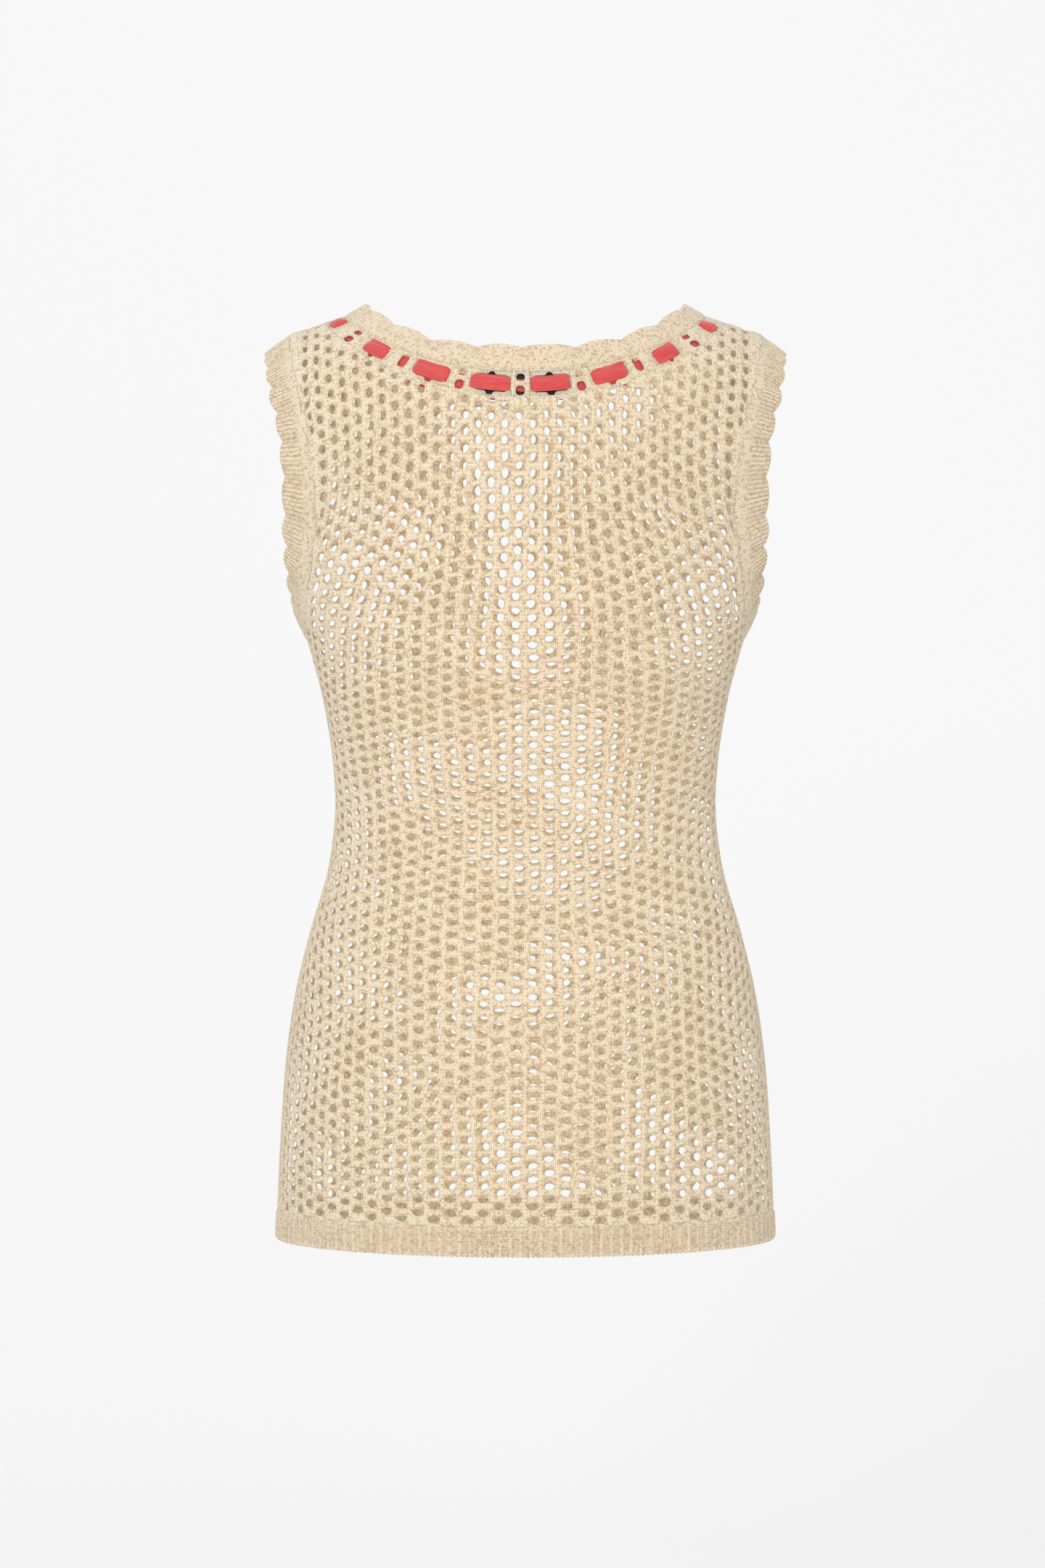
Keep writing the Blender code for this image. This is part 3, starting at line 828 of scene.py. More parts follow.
@dataclass(frozen=True)
class KnitFinish:
    """Knitted yarn, its stitches read from the piece's UV map."""

    name: str
    light: tuple[float, float, float]
    deep: tuple[float, float, float] = (0.53, 0.41, 0.26)
    lean: float = 0.75
    wander: float = 0.35
    # How strongly painted shade darkens the low places between the stitches
    stitch_gap_shade: float = 0.8
    blotch: float = 0.3
    relief: float = 0.8 * MM
    fibre_relief: float = 0.15 * MM
    roughness: float = 0.92
    sheen: float = 0.22
    sheen_roughness: float = 0.6
    glow_through: float = 0.8
    glow_reach: float = 4.0 * MM
    glow_tint: tuple[float, float, float] = (1.0, 0.85, 0.7)
    shine: float = 0.15
    ridged_name: str = "ridged"
    shade_name: str = "shade"

    def build(self, stitches: bpy.types.NodeTree, yarn: bpy.types.NodeTree) -> bpy.types.Material:
        """Makes the material.

        Args:
            stitches: The group with the relief of the stitches.
            yarn: The group with the colour of the yarn.

        Returns:
            The material.
        """
        made, sheet, shader = new_material(self.name)
        place = sheet.add("ShaderNodeTexCoord")
        ridged = sheet.add("ShaderNodeAttribute", attribute_name=self.ridged_name)
        shade = sheet.add("ShaderNodeAttribute", attribute_name=self.shade_name)
        relief = sheet.group(
            stitches,
            {
                "Place": place.outputs["UV"],
                "Ridged": ridged.outputs["Fac"],
                "Lean": self.lean,
                "Wander": self.wander,
            },
        ).outputs["Height"]
        tone = sheet.group(
            yarn,
            {
                "Place": place.outputs["Object"],
                "Height": relief,
                "Light": (*self.light, 1.0),
                "Deep": (*self.deep, 1.0),
                "Depth": self.stitch_gap_shade,
                "Blotch": self.blotch,
                "Shade": shade.outputs["Fac"],
            },
        )
        normal = sheet.bumps(
            (relief, self.relief), (tone.outputs["Fibre"], self.fibre_relief)
        )
        made.node_tree.links.new(tone.outputs["Color"], shader.inputs["Base Color"])
        made.node_tree.links.new(normal, shader.inputs["Normal"])
        constants = {
            "Roughness": self.roughness,
            "Sheen Weight": self.sheen,
            "Sheen Roughness": self.sheen_roughness,
            "Subsurface Weight": self.glow_through,
            "Subsurface Radius": self.glow_tint,
            "Subsurface Scale": self.glow_reach,
            "Specular IOR Level": self.shine,
        }
        set_constants(shader, constants)
        return made


@dataclass(frozen=True)
class RibbonFinish:
    """A flat ribbon of cut jersey, with fine lengthwise grain and soft creases."""

    name: str = "creased_red_ribbon"
    light: tuple[float, float, float] = (0.58, 0.055, 0.048)
    deep: tuple[float, float, float] = (0.37, 0.026, 0.028)
    roughness: float = 0.62
    sheen: float = 0.35
    shine: float = 0.3
    crease_stretch: tuple[float, float, float] = (0.5, 2.2, 1.0)
    crease_scale: float = 1.6
    crease_shade: float = 1.3
    crease_start: float = -0.3
    crease_relief: float = 1.6 * MM
    grain_stretch: tuple[float, float, float] = (2.0, 24.0, 1.0)
    grain_shade: float = 0.2
    grain_relief: float = 0.12 * MM

    def build(self) -> bpy.types.Material:
        """Makes the material from the ribbon's own UV map, in its width and length.

        Returns:
            The material.
        """
        made, sheet, shader = new_material(self.name)
        place = sheet.add("ShaderNodeTexCoord").outputs["UV"]
        drawn = sheet.add("ShaderNodeMapping", {"Vector": place, "Scale": self.crease_stretch})
        crease = sheet.noise(drawn.outputs[0], self.crease_scale, 3.0)
        drawn = sheet.add("ShaderNodeMapping", {"Vector": place, "Scale": self.grain_stretch})
        grain = sheet.noise(drawn.outputs[0], 1.0, 2.0)
        shade = sheet.math("MULTIPLY", crease, self.crease_shade)
        shade = sheet.math("ADD", shade, self.crease_start)
        shade = sheet.math("ADD", shade, sheet.math("MULTIPLY", grain, self.grain_shade))
        colour = sheet.blend(shade, (*self.light, 1.0), (*self.deep, 1.0))
        normal = sheet.bumps((crease, self.crease_relief), (grain, self.grain_relief))
        made.node_tree.links.new(colour, shader.inputs["Base Color"])
        made.node_tree.links.new(normal, shader.inputs["Normal"])
        constants = {
            "Roughness": self.roughness,
            "Sheen Weight": self.sheen,
            "Specular IOR Level": self.shine,
        }
        set_constants(shader, constants)
        return made


@dataclass(frozen=True)
class LabelFinish:
    """A bare woven label, black, with a fine cross weave."""

    name: str = "black_woven_label"
    thread: tuple[float, float, float] = (0.022, 0.020, 0.022)
    gap: tuple[float, float, float] = (0.008, 0.007, 0.008)
    threads_per_metre: float = 2200.0
    relief: float = 0.08 * MM
    roughness: float = 0.75

    def build(self) -> bpy.types.Material:
        """Makes the material.

        Returns:
            The material.
        """
        made, sheet, shader = new_material(self.name)
        weave = sheet.add(
            "ShaderNodeTexChecker",
            {
                "Vector": sheet.add("ShaderNodeTexCoord").outputs["Object"],
                "Color1": (*self.thread, 1.0),
                "Color2": (*self.gap, 1.0),
                "Scale": self.threads_per_metre,
            },
        )
        normal = sheet.bumps((weave.outputs["Fac"], self.relief))
        made.node_tree.links.new(weave.outputs["Color"], shader.inputs["Base Color"])
        made.node_tree.links.new(normal, shader.inputs["Normal"])
        set_constants(shader, {"Roughness": self.roughness})
        return made


def cloth_object(
    name: str,
    points: Array,
    faces: list,
    places: Array,
    masks: dict[str, Array],
    finish: bpy.types.Material,
    round_trip: float = 0.0,
    sharpest: float = 60.0,
) -> bpy.types.Object:
    """Makes a piece of cloth from its points and faces.

    Args:
        name: The piece's name.
        points: Its points.
        faces: Its faces, as point numbers.
        places: UV places of the points, in stitches.
        masks: Values at the points that its finish reads, by name.
        finish: Its material.
        round_trip: Stitches once round a closed loop, and 0 for a piece with ends.
        sharpest: Degrees between faces from which the edge between them is shaded sharp.

    Returns:
        The object, at the origin.
    """
    data = bpy.data.meshes.new(name)
    data.from_pydata(points.tolist(), [], faces)
    corner_points = np.zeros(len(data.loops), np.int32)
    data.loops.foreach_get("vertex_index", corner_points)
    layer = data.uv_layers.new(name="stitches")
    corner_places = places[corner_points]
    if round_trip:
        starts = np.repeat(np.arange(len(faces)), [len(face) for face in faces])
        highest = np.zeros(len(faces))
        np.maximum.at(highest, starts, corner_places[:, 0])
        behind = highest[starts] - corner_places[:, 0] > round_trip / 2
        corner_places[behind, 0] += round_trip
    layer.uv.foreach_set("vector", corner_places.astype(np.float32).ravel())
    for label, values in masks.items():
        mask = data.attributes.new(label, "FLOAT", "POINT")
        mask.data.foreach_set("value", values.astype(np.float32))
    data.materials.append(finish)
    data.shade_smooth()
    data.set_sharp_from_angle(angle=math.radians(sharpest))
    data.validate()
    made = bpy.data.objects.new(name, data)
    bpy.context.scene.collection.objects.link(made)
    LOG.info("%s: %d points, %d faces", name, len(points), len(faces))
    return made


def ring_faces(rows: int, columns: int, first: int = 0) -> list:
    """Faces of a grid of points that closes on itself both ways.

    Args:
        rows: Points round its profile.
        columns: Points along it.
        first: Number of its first point.

    Returns:
        The faces, facing out where the profile turns to the left seen along the columns.
    """
    r, c = np.meshgrid(np.arange(rows), np.arange(columns), indexing="ij")
    up, on = (r + 1) % rows, (c + 1) % columns
    corners = ((r, c), (up, c), (up, on), (r, on))
    faces = np.stack([row * columns + col for row, col in corners], axis=-1)
    return (faces.reshape(-1, 4) + first).tolist()


def faces_outward(points: Array, faces: list) -> list:
    """Makes the faces of a closed piece face outwards.

    Args:
        points: Its points.
        faces: Its faces of four corners, all facing the same way.

    Returns:
        The faces, all turned round if they enclose a negative volume.
    """
    corners = points[np.array(faces)[:, :3]]
    last = points[np.array(faces)[:, [0, 2, 3]]]
    volume = sum(
        np.einsum("ij,ij->i", c[:, 0], np.cross(c[:, 1], c[:, 2])).sum() for c in (corners, last)
    )
    return faces if volume > 0 else [face[::-1] for face in faces]


@dataclass
class NetPanel:
    """One half of the body, an open net of staggered holes between its seams."""

    side: Side
    form: WornForm
    neckline: Neckline
    armhole: Armhole
    flat: tuple[float, float] = (0.46, 0.63)
    area: float = 0.175
    wall: float = 2.0 * MM
    stitches_per_cell: float = 4.0
    seed: int = 7

    # The lattice: its wales from the centre to a side, and how they spread and lean
    wales: int = 22
    reference: float = -60.0 * MM
    lean_start: float = -120.0 * MM
    lean_height: float = 110.0 * MM
    lean: float = 0.05
    climb_share: float = 0.2
    even_start: float = -480.0 * MM
    even_height: float = 100.0 * MM
    crowding: float = 2.6
    tilt: float = 0.02
    tilt_grown: float = 60.0 * MM
    tilt_end: float = -330.0 * MM
    tilt_fade: float = 130.0 * MM
    curve_grown: float = 55.0 * MM
    below_seam: float = 10.0 * MM
    highest_course: float = 80.0 * MM
    highest_length: float = 110.0 * MM
    widest: float = 190.0 * MM

    # Its seams: how far the net reaches under them, and the least cloth beside a hole
    foot: float = 1.0
    arm_size: float = 80.0 * MM
    arm_zone: float = 110.0 * MM
    arm_reach: float = 3.0 * MM
    arm_margin: float = 1.2 * MM
    seam_tuck: float = 1.6 * MM
    side_snap: float = 0.3 * MM
    side_zone: float = 1.0 * MM
    least_margin: float = 0.8 * MM
    edge_margin: float = 1.4 * MM
    edge_thinning: float = 0.4

    # Its holes: their size, how they close in narrow cells, and their rounded rims
    hole_scale: dict = field(default_factory=lambda: {Side.BACK: 1.0, Side.FRONT: 0.98})
    upright: float = 0.6
    steepest: float = 0.8
    closing_width: tuple[float, float] = (3.2 * MM, 6.6 * MM)
    closing_power: float = 0.5
    least_width: float = 0.16
    least_half_height: float = 0.4
    rim_share: float = 0.40
    rim_shade: float = 0.16

    # Slack yarn: how far its places and holes stray from even ones, more by the hem
    wander: float = 0.6
    across_waves: tuple = ((0.16, 0.31, 0.17), (0.12, 0.83, -0.42), (0.05, 1.2, 2.1))
    along_waves: tuple = ((0.18, -0.22, 0.27), (0.12, 0.53, 0.71), (0.05, 1.9, -0.8))
    loose: float = 0.028
    width_spread: float = 0.05
    tall_spread: float = 0.06
    point_spread: float = 0.06
    turn_spread: float = 0.07
    first_course: float = 0.6
    first_fade: float = 1.6
    first_point: float = 4.0
    first_turn: float = 0.3

    def __post_init__(self) -> None:
        """Works out the tables that turn counts of wales and courses into places."""
        self.random = np.random.default_rng(self.seed + (self.side is Side.FRONT))
        self._measure_courses()
        self._measure_wales()
        self._measure_lengths()

    def _net(self, z: Array, name: str) -> Array:
        """A size of the net at these heights."""
        knots = column(NET, NET_COLUMNS, "height") * MM
        return smooth_curve(z, knots, column(NET, NET_COLUMNS, name) * MM)

    def _measure_courses(self) -> None:
        """Adds up the courses from the hem seam upwards."""
        self.course_heights = np.linspace(HEM_SEAM, self.highest_course, 1200)
        pitch = self._net(self.course_heights, "course")
        self.course_counts = adding_up(np.diff(self.course_heights) / ((pitch[1:] + pitch[:-1]) / 2))

    def _measure_wales(self) -> None:
        """Measures each height's outline from the centre to the side."""
        self.heights = np.linspace(HEM_SEAM - self.below_seam, self.reference, 136)
        self.shares = np.linspace(0.0, 1.0, 201)
        fine = np.sin(np.linspace(0.0, math.pi / 2, 500))
        self.outline_lengths = np.zeros(len(self.heights))
        self.reaches = np.zeros((len(self.heights), len(self.shares)))
        for i, z in enumerate(self.heights):
            x = self.form.section(np.array([z]), "half_width")[0] * fine
            y = self.form.depth(self.side, x, np.full(len(x), z))
            length = adding_up(np.hypot(np.diff(x), np.diff(y)))
            self.outline_lengths[i] = length[-1]
            self.reaches[i] = np.interp(self.shares, length / length[-1], x)

    def _measure_lengths(self) -> None:
        """Measures the cloth's length up each line of equal distance from the centre."""
        underarm = self.armhole.centre - self.armhole.half_height
        self.distances = np.linspace(0.0, self.widest, 96)
        self.lengths = np.linspace(HEM_SEAM - self.below_seam, self.highest_length, 472)
        self.climbs = np.zeros((len(self.distances), len(self.lengths)))
        self.tops = np.zeros(len(self.distances))
        for i, x in enumerate(self.distances):
            ridge = self.form.shoulder_height(np.array([x]))[0]
            z = ridge - (ridge - underarm) * np.linspace(1.0, 0.0, 700) ** 2
            y = self.form.depth(self.side, np.full(len(z), x), z)
            climbed = adding_up(np.hypot(np.diff(y), np.diff(z)))
            length = underarm + climbed * self.climb_share
            length = length + (z - underarm) * (1 - self.climb_share)
            self.tops[i] = length[-1]
            above = np.interp(self.lengths, length, z)
            self.climbs[i] = np.where(self.lengths < underarm, self.lengths, above)

    def place(self, wale: Array, course: Array) -> tuple[Array, Array, Array]:
        """Where a count of wales and courses lies in the front view.

        Args:
            wale: Wales to the right of the centre.
            course: Courses above the hem seam.

        Returns:
            Distances from the centre, heights, and lengths of cloth left to the shoulder
            or to the side seam.
        """
        share = np.abs(wale) / self.wales
        base = np.interp(course, self.course_counts, self.course_heights)
        above_hem = base - HEM_SEAM
        x = self._reach(share, np.minimum(base, self.reference))
        width = self.form.section(np.minimum(base, self.reference), "half_width")
        curve = 2.0 + ease(above_hem / self.curve_grown)
        tilted = ease(above_hem / self.tilt_grown)
        tilted = tilted * (1 - ease((base - self.tilt_end) / self.tilt_fade))
        length = base - HEM_DIP + self._net(base, "rise") * (x / width) ** curve
        length = length + self.tilt * np.sign(wale) * x * tilted
        for _ in range(2):
            z = grid_lookup(self.climbs, self.distances, self.lengths, x, length)
            x = self._reach(share, np.minimum(z, self.reference))
            x = x * (1 + self.lean * ease((z - self.lean_start) / self.lean_height))
        z = grid_lookup(self.climbs, self.distances, self.lengths, x, length)
        beside = (1 - self._spread(share, z)) * np.interp(z, self.heights, self.outline_lengths)
        left = np.minimum(np.interp(x, self.distances, self.tops) - length, beside)
        x = np.where(beside < self.side_snap, self.form.section(z, "half_width"), x)
        return np.sign(wale) * x, z, left

    def _spread(self, share: Array, z: Array) -> Array:
        """How far a share of the wales lies towards the side.

        Args:
            share: Shares of the wales.
            z: Heights.

        Returns:
            Shares of the way to the side, over 1 beyond it.
        """
        outline = np.interp(z, self.heights, self.outline_lengths)
        centre = self.wales * self._net(z, "wale") / outline
        even = ease((z - self.even_start) / self.even_height)
        return centre * share + (1 - centre) * share**self.crowding * (1 - even)

    def _reach(self, share: Array, z: Array) -> Array:
        """Distance from the centre of a share of the wales at height z."""
        spread = self._spread(share, z)
        return grid_lookup(self.reaches, self.heights, self.shares, z, spread)

    def settle(self, wale: Array, course: Array) -> tuple[Array, Array, Array]:
        """Points of the net, kept between its seams.

        Args:
            wale: Wales to the right of the centre.
            course: Courses above the hem seam.

        Returns:
            The points, their outward directions and how far inside the seams they lie.
        """
        x, z, left = self.place(wale, course)
        foot = self.neckline.foot_height(self.side, x, self.foot)
        margin = np.minimum(foot - z, left)
        z = np.minimum(z, foot)
        y = self.side.sign * self.form.depth(self.side, x, z)
        share = self.armhole.share(y, z)
        above = z > self.armhole.centre - self.arm_zone
        by_arm = (np.abs(x) > self.form.nearest_arm) & above
        beside = (share - 1) * self.arm_size + self.arm_margin
        margin = np.where(by_arm, np.minimum(margin, beside), margin)
        nearest = 1.0 - (self.arm_reach + self.seam_tuck) / self.arm_size
        inside = by_arm & (share < nearest)
        grow = nearest / np.maximum(share[inside], 0.05)
        y[inside] *= grow
        z[inside] = self.armhole.centre + (z[inside] - self.armhole.centre) * grow
        x[inside] = np.sign(x[inside]) * self.form.reach(self.side, y[inside], z[inside])
        points, normals = self.form.on_skin(self.side, x, z)
        return points, normals, margin

    def cells(self) -> tuple[Array, Array]:
        """The middles of the net's cells, every other wale half a course higher.

        Returns:
            Their wales and their courses.
        """
        columns = np.arange(-self.wales, self.wales) + 0.5
        rows = np.arange(0, math.ceil(self.course_counts[-1]) + 1)
        wale, row = np.meshgrid(columns, rows, indexing="ij")
        shifted = (np.floor(wale).astype(int) % 2 == 0) * 0.5
        return wale.ravel(), (row + shifted).ravel()

    def build(self, finish: bpy.types.Material) -> bpy.types.Object:
        """Makes the net.

        Args:
            finish: Its material.

        Returns:
            The net's object.
        """
        wale, course = self.cells()
        edge = np.array(
            [(-2, -2), (0, -2), (2, -2), (2, -1), (2, 0), (2, 1)]
            + [(2, 2), (0, 2), (-2, 2), (-2, 1), (-2, 0), (-2, -1)]
        )
        quarters = np.stack([wale, course], axis=-1)[:, None] * 4 + edge[None]
        quarters = np.round(quarters).astype(int)
        quarters[..., 1] = np.maximum(quarters[..., 1], 0)
        corners, index = np.unique(quarters.reshape(-1, 2), axis=0, return_inverse=True)
        index = index.reshape(quarters.shape[:2])
        at = self._wander(corners / 4.0)
        _, _, margin = self.settle(at[:, 0], at[:, 1])
        index = index[(margin[index] > self.least_margin).any(axis=1)]
        rings, opened = self._rings(at, index)
        return self._wall(at, index, rings, opened, finish)

    def _wander(self, at: Array) -> Array:
        """Moves the places of the net a little, as slack yarn does, but not at its seams.

        Args:
            at: Places, in wales and courses.

        Returns:
            The places moved.
        """
        wale, course = at[:, 0], at[:, 1]
        hold = np.clip(np.minimum((self.wales - np.abs(wale)) / 3, course / 3), 0, 1)
        phase = self.random.uniform(0, 2 * math.pi, 6)
        moved = [
            sum(
                height * np.sin(per_wale * wale + per_course * course + start)
                for (height, per_wale, per_course), start in zip(waves, starts)
            )
            for waves, starts in ((self.across_waves, phase[:3]), (self.along_waves, phase[3:]))
        ]
        loose = self.random.normal(0.0, self.loose, (len(at), 2))
        return at + (np.stack(moved, axis=-1) * self.wander + loose) * hold[:, None]

    def _hole_shapes(self, middle: Array, half: Array) -> tuple[Array, Array]:
        """The shapes of the holes, before a seam cuts any.

        Args:
            middle: Middles of the cells.
            half: Half their widths and heights.

        Returns:
            The outlines' places as shares of each cell, and which holes are wide enough.
        """
        left, right, low, high = (
            self.settle(*(middle + half * step).T)[0] for step in ((-1, 0), (1, 0), (0, -1), (0, 1))
        )
        width = np.linalg.norm(right - left, axis=-1)
        slope = (right[:, 2] - left[:, 2]) / np.maximum(high[:, 2] - low[:, 2], 1 * MM)
        slope = np.clip(slope, -self.steepest, self.steepest) * self.upright
        length = np.interp(middle[:, 1], self.course_counts, self.course_heights)
        knots = column(HOLES, HOLE_COLUMNS, "height") * MM
        width_share, tall_share, square, point = (
            np.interp(length, knots, column(HOLES, HOLE_COLUMNS, name))
            for name in ("width", "tall", "squareness", "point")
        )
        narrow, full = self.closing_width
        opening = np.clip((width - narrow) / (full - narrow), 0.0, 1.0) ** self.closing_power
        count = len(middle)
        width_share = width_share * opening * self.random.normal(1.0, self.width_spread, count)
        tall_share = tall_share * self.random.normal(1.0, self.tall_spread, count)
        first = 1 - ease((middle[:, 1] - self.first_course) / self.first_fade)
        uneven = self.random.normal(0.0, self.point_spread, count)
        point = (point + uneven * (1 + self.first_point * first))[:, None]
        turn = self.random.normal(0.0, self.turn_spread, count) + first * self.first_turn
        angle = np.radians([225, 270, 315, 337.5, 0, 22.5, 45, 90, 135, 157.5, 180, 202.5])
        cos, sin = np.cos(angle)[None], np.sin(angle)[None]
        square = square[:, None]
        radius = (np.abs(cos) ** square + np.abs(sin) ** square) ** (-1 / square)
        x, y = cos * radius * (1 + point * sin * radius), sin * radius
        shape = np.stack([x - y * turn[:, None], y + x * turn[:, None]], axis=-1)
        shape *= np.stack([width_share, tall_share], axis=-1)[:, None] * self.hole_scale[self.side]
        shape[..., 1] -= slope[:, None] * shape[..., 0]
        return shape, (width_share > self.least_width) & (half[:, 1] > self.least_half_height)

    def _rings(self, at: Array, index: Array) -> tuple[Array, Array]:
        """The outline of each cell's hole, and whether it is open.

        Args:
            at: Places of the corners of the cells.
            index: The corners of each cell.

        Returns:
            The outlines' places, and which cells have a hole.
        """
        corners = at[index]
        middle = (corners.min(axis=1) + corners.max(axis=1)) / 2
        half = (corners.max(axis=1) - corners.min(axis=1)) / 2
        shape, wide_enough = self._hole_shapes(middle, half)
        rings = middle[:, None] + (corners - middle[:, None]) * 0.5
        opened = np.zeros(len(index), bool)
        for inward, down, narrowed, lowered in SEAM_HOLES:
            moved = [-np.sign(middle[:, 0]) * inward, np.full(len(index), -down)]
            moved = np.stack(moved, axis=-1)[:, None]
            trial = middle[:, None] + (shape * (narrowed, lowered) + moved) * half[:, None]
            around = trial.reshape(-1, 2)
            margin = self.settle(around[:, 0], around[:, 1])[2].reshape(trial.shape[:2])
            fits = (margin > self.edge_margin).all(axis=1) & wide_enough & ~opened
            rings[fits] = trial[fits]
            opened |= fits
        return rings, opened

    def _faces(self, index: Array, corners: int, opened: Array) -> list:
        """Joins the cells to one closed wall, with a rim round each hole and along its seams.

        Args:
            index: The corners of each cell.
            corners: How many corners there are. The outlines of the cells and then their
                middles are numbered after them.
            opened: Which cells have a hole.

        Returns:
            The faces. The points of the inner face are numbered after all of the outer one.
        """
        count, sides = index.shape
        ring = corners + np.arange(count * sides).reshape(count, sides)
        hub = np.repeat(corners + count * sides + np.arange(count)[:, None], sides, axis=1)
        below = corners + count * (sides + 1)
        after, ring_after = np.roll(index, -1, axis=1), np.roll(ring, -1, axis=1)
        rim, rim_after = ring[opened], ring_after[opened]
        edges = np.stack([index, after], axis=-1).reshape(-1, 2)
        edges = edges[edges[:, 0] != edges[:, 1]]
        names = edges.min(axis=1).astype(np.int64) * below + edges.max(axis=1)
        _, first, uses = np.unique(names, return_index=True, return_counts=True)
        start, end = edges[first[uses == 1]].T
        quads = (
            (index, after, ring_after, ring),
            (after + below, index + below, ring + below, ring_after + below),
            (rim, rim_after, rim_after + below, rim + below),
            (end, start, start + below, end + below),
        )
        quads = np.concatenate([np.stack(quad, axis=-1).reshape(-1, 4) for quad in quads])
        fan = np.stack([ring, ring_after, hub], axis=-1)[~opened].reshape(-1, 3)
        faces = [list(dict.fromkeys(face)) for face in quads.tolist()]
        faces += fan.tolist() + (fan[:, ::-1] + below).tolist()
        faces = [face for face in faces if len(face) > 2]
        return [face[::-1] for face in faces] if self.side is Side.FRONT else faces

    def _wall(
        self, at: Array, index: Array, rings: Array, opened: Array, finish: bpy.types.Material
    ) -> bpy.types.Object:
        """Makes the net's object from its cells and their holes.

        Args:
            at: Places of the corners of the cells.
            index: The corners of each cell.
            rings: Places of the outline of each cell's hole.
            opened: Which cells have a hole.
            finish: The net's material.

        Returns:
            The object, thinner towards its holes and seams.
        """
        used, flat_index = np.unique(index, return_inverse=True)
        index, at = flat_index.reshape(index.shape), at[used]
        places = np.concatenate([at, rings.reshape(-1, 2), rings.mean(axis=1)])
        points, normals, margin = self.settle(places[:, 0], places[:, 1])
        half = self.wall / 2
        thick = np.full(len(places), half)
        at_side = np.abs(points[:, 1]) < self.side_zone
        thick[((margin <= 0) & ~at_side) | (places[:, 1] <= 0)] *= self.edge_thinning
        rims = slice(len(at), len(at) + index.size)
        open_rims = np.repeat(opened, index.shape[1])
        thick[rims] = np.where(open_rims, half * self.rim_share, thick[rims])
        shade = np.zeros(len(places))
        shade[rims] = np.where(open_rims, self.rim_shade, 0.0)
        shade = np.tile(shade, 2)
        moved = normals * thick[:, None]
        points = np.concatenate([points + moved, points - moved])
        uv = np.tile(places * self.stitches_per_cell, (2, 1))
        faces = self._faces(index, len(at), opened)
        kept, numbers = np.unique([corner for face in faces for corner in face], return_inverse=True)
        ends = np.cumsum([len(face) for face in faces])[:-1]
        faces = [face.tolist() for face in np.split(numbers, ends)]
        masks = {"ridged": np.zeros(len(kept)), "shade": shade[kept]}
        name = f"{self.side.value}_net"
        made = cloth_object(name, points[kept], faces, uv[kept], masks, finish, sharpest=80.0)
        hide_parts(f"{self.side.value}_panel")
        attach(made, "root")
        return made


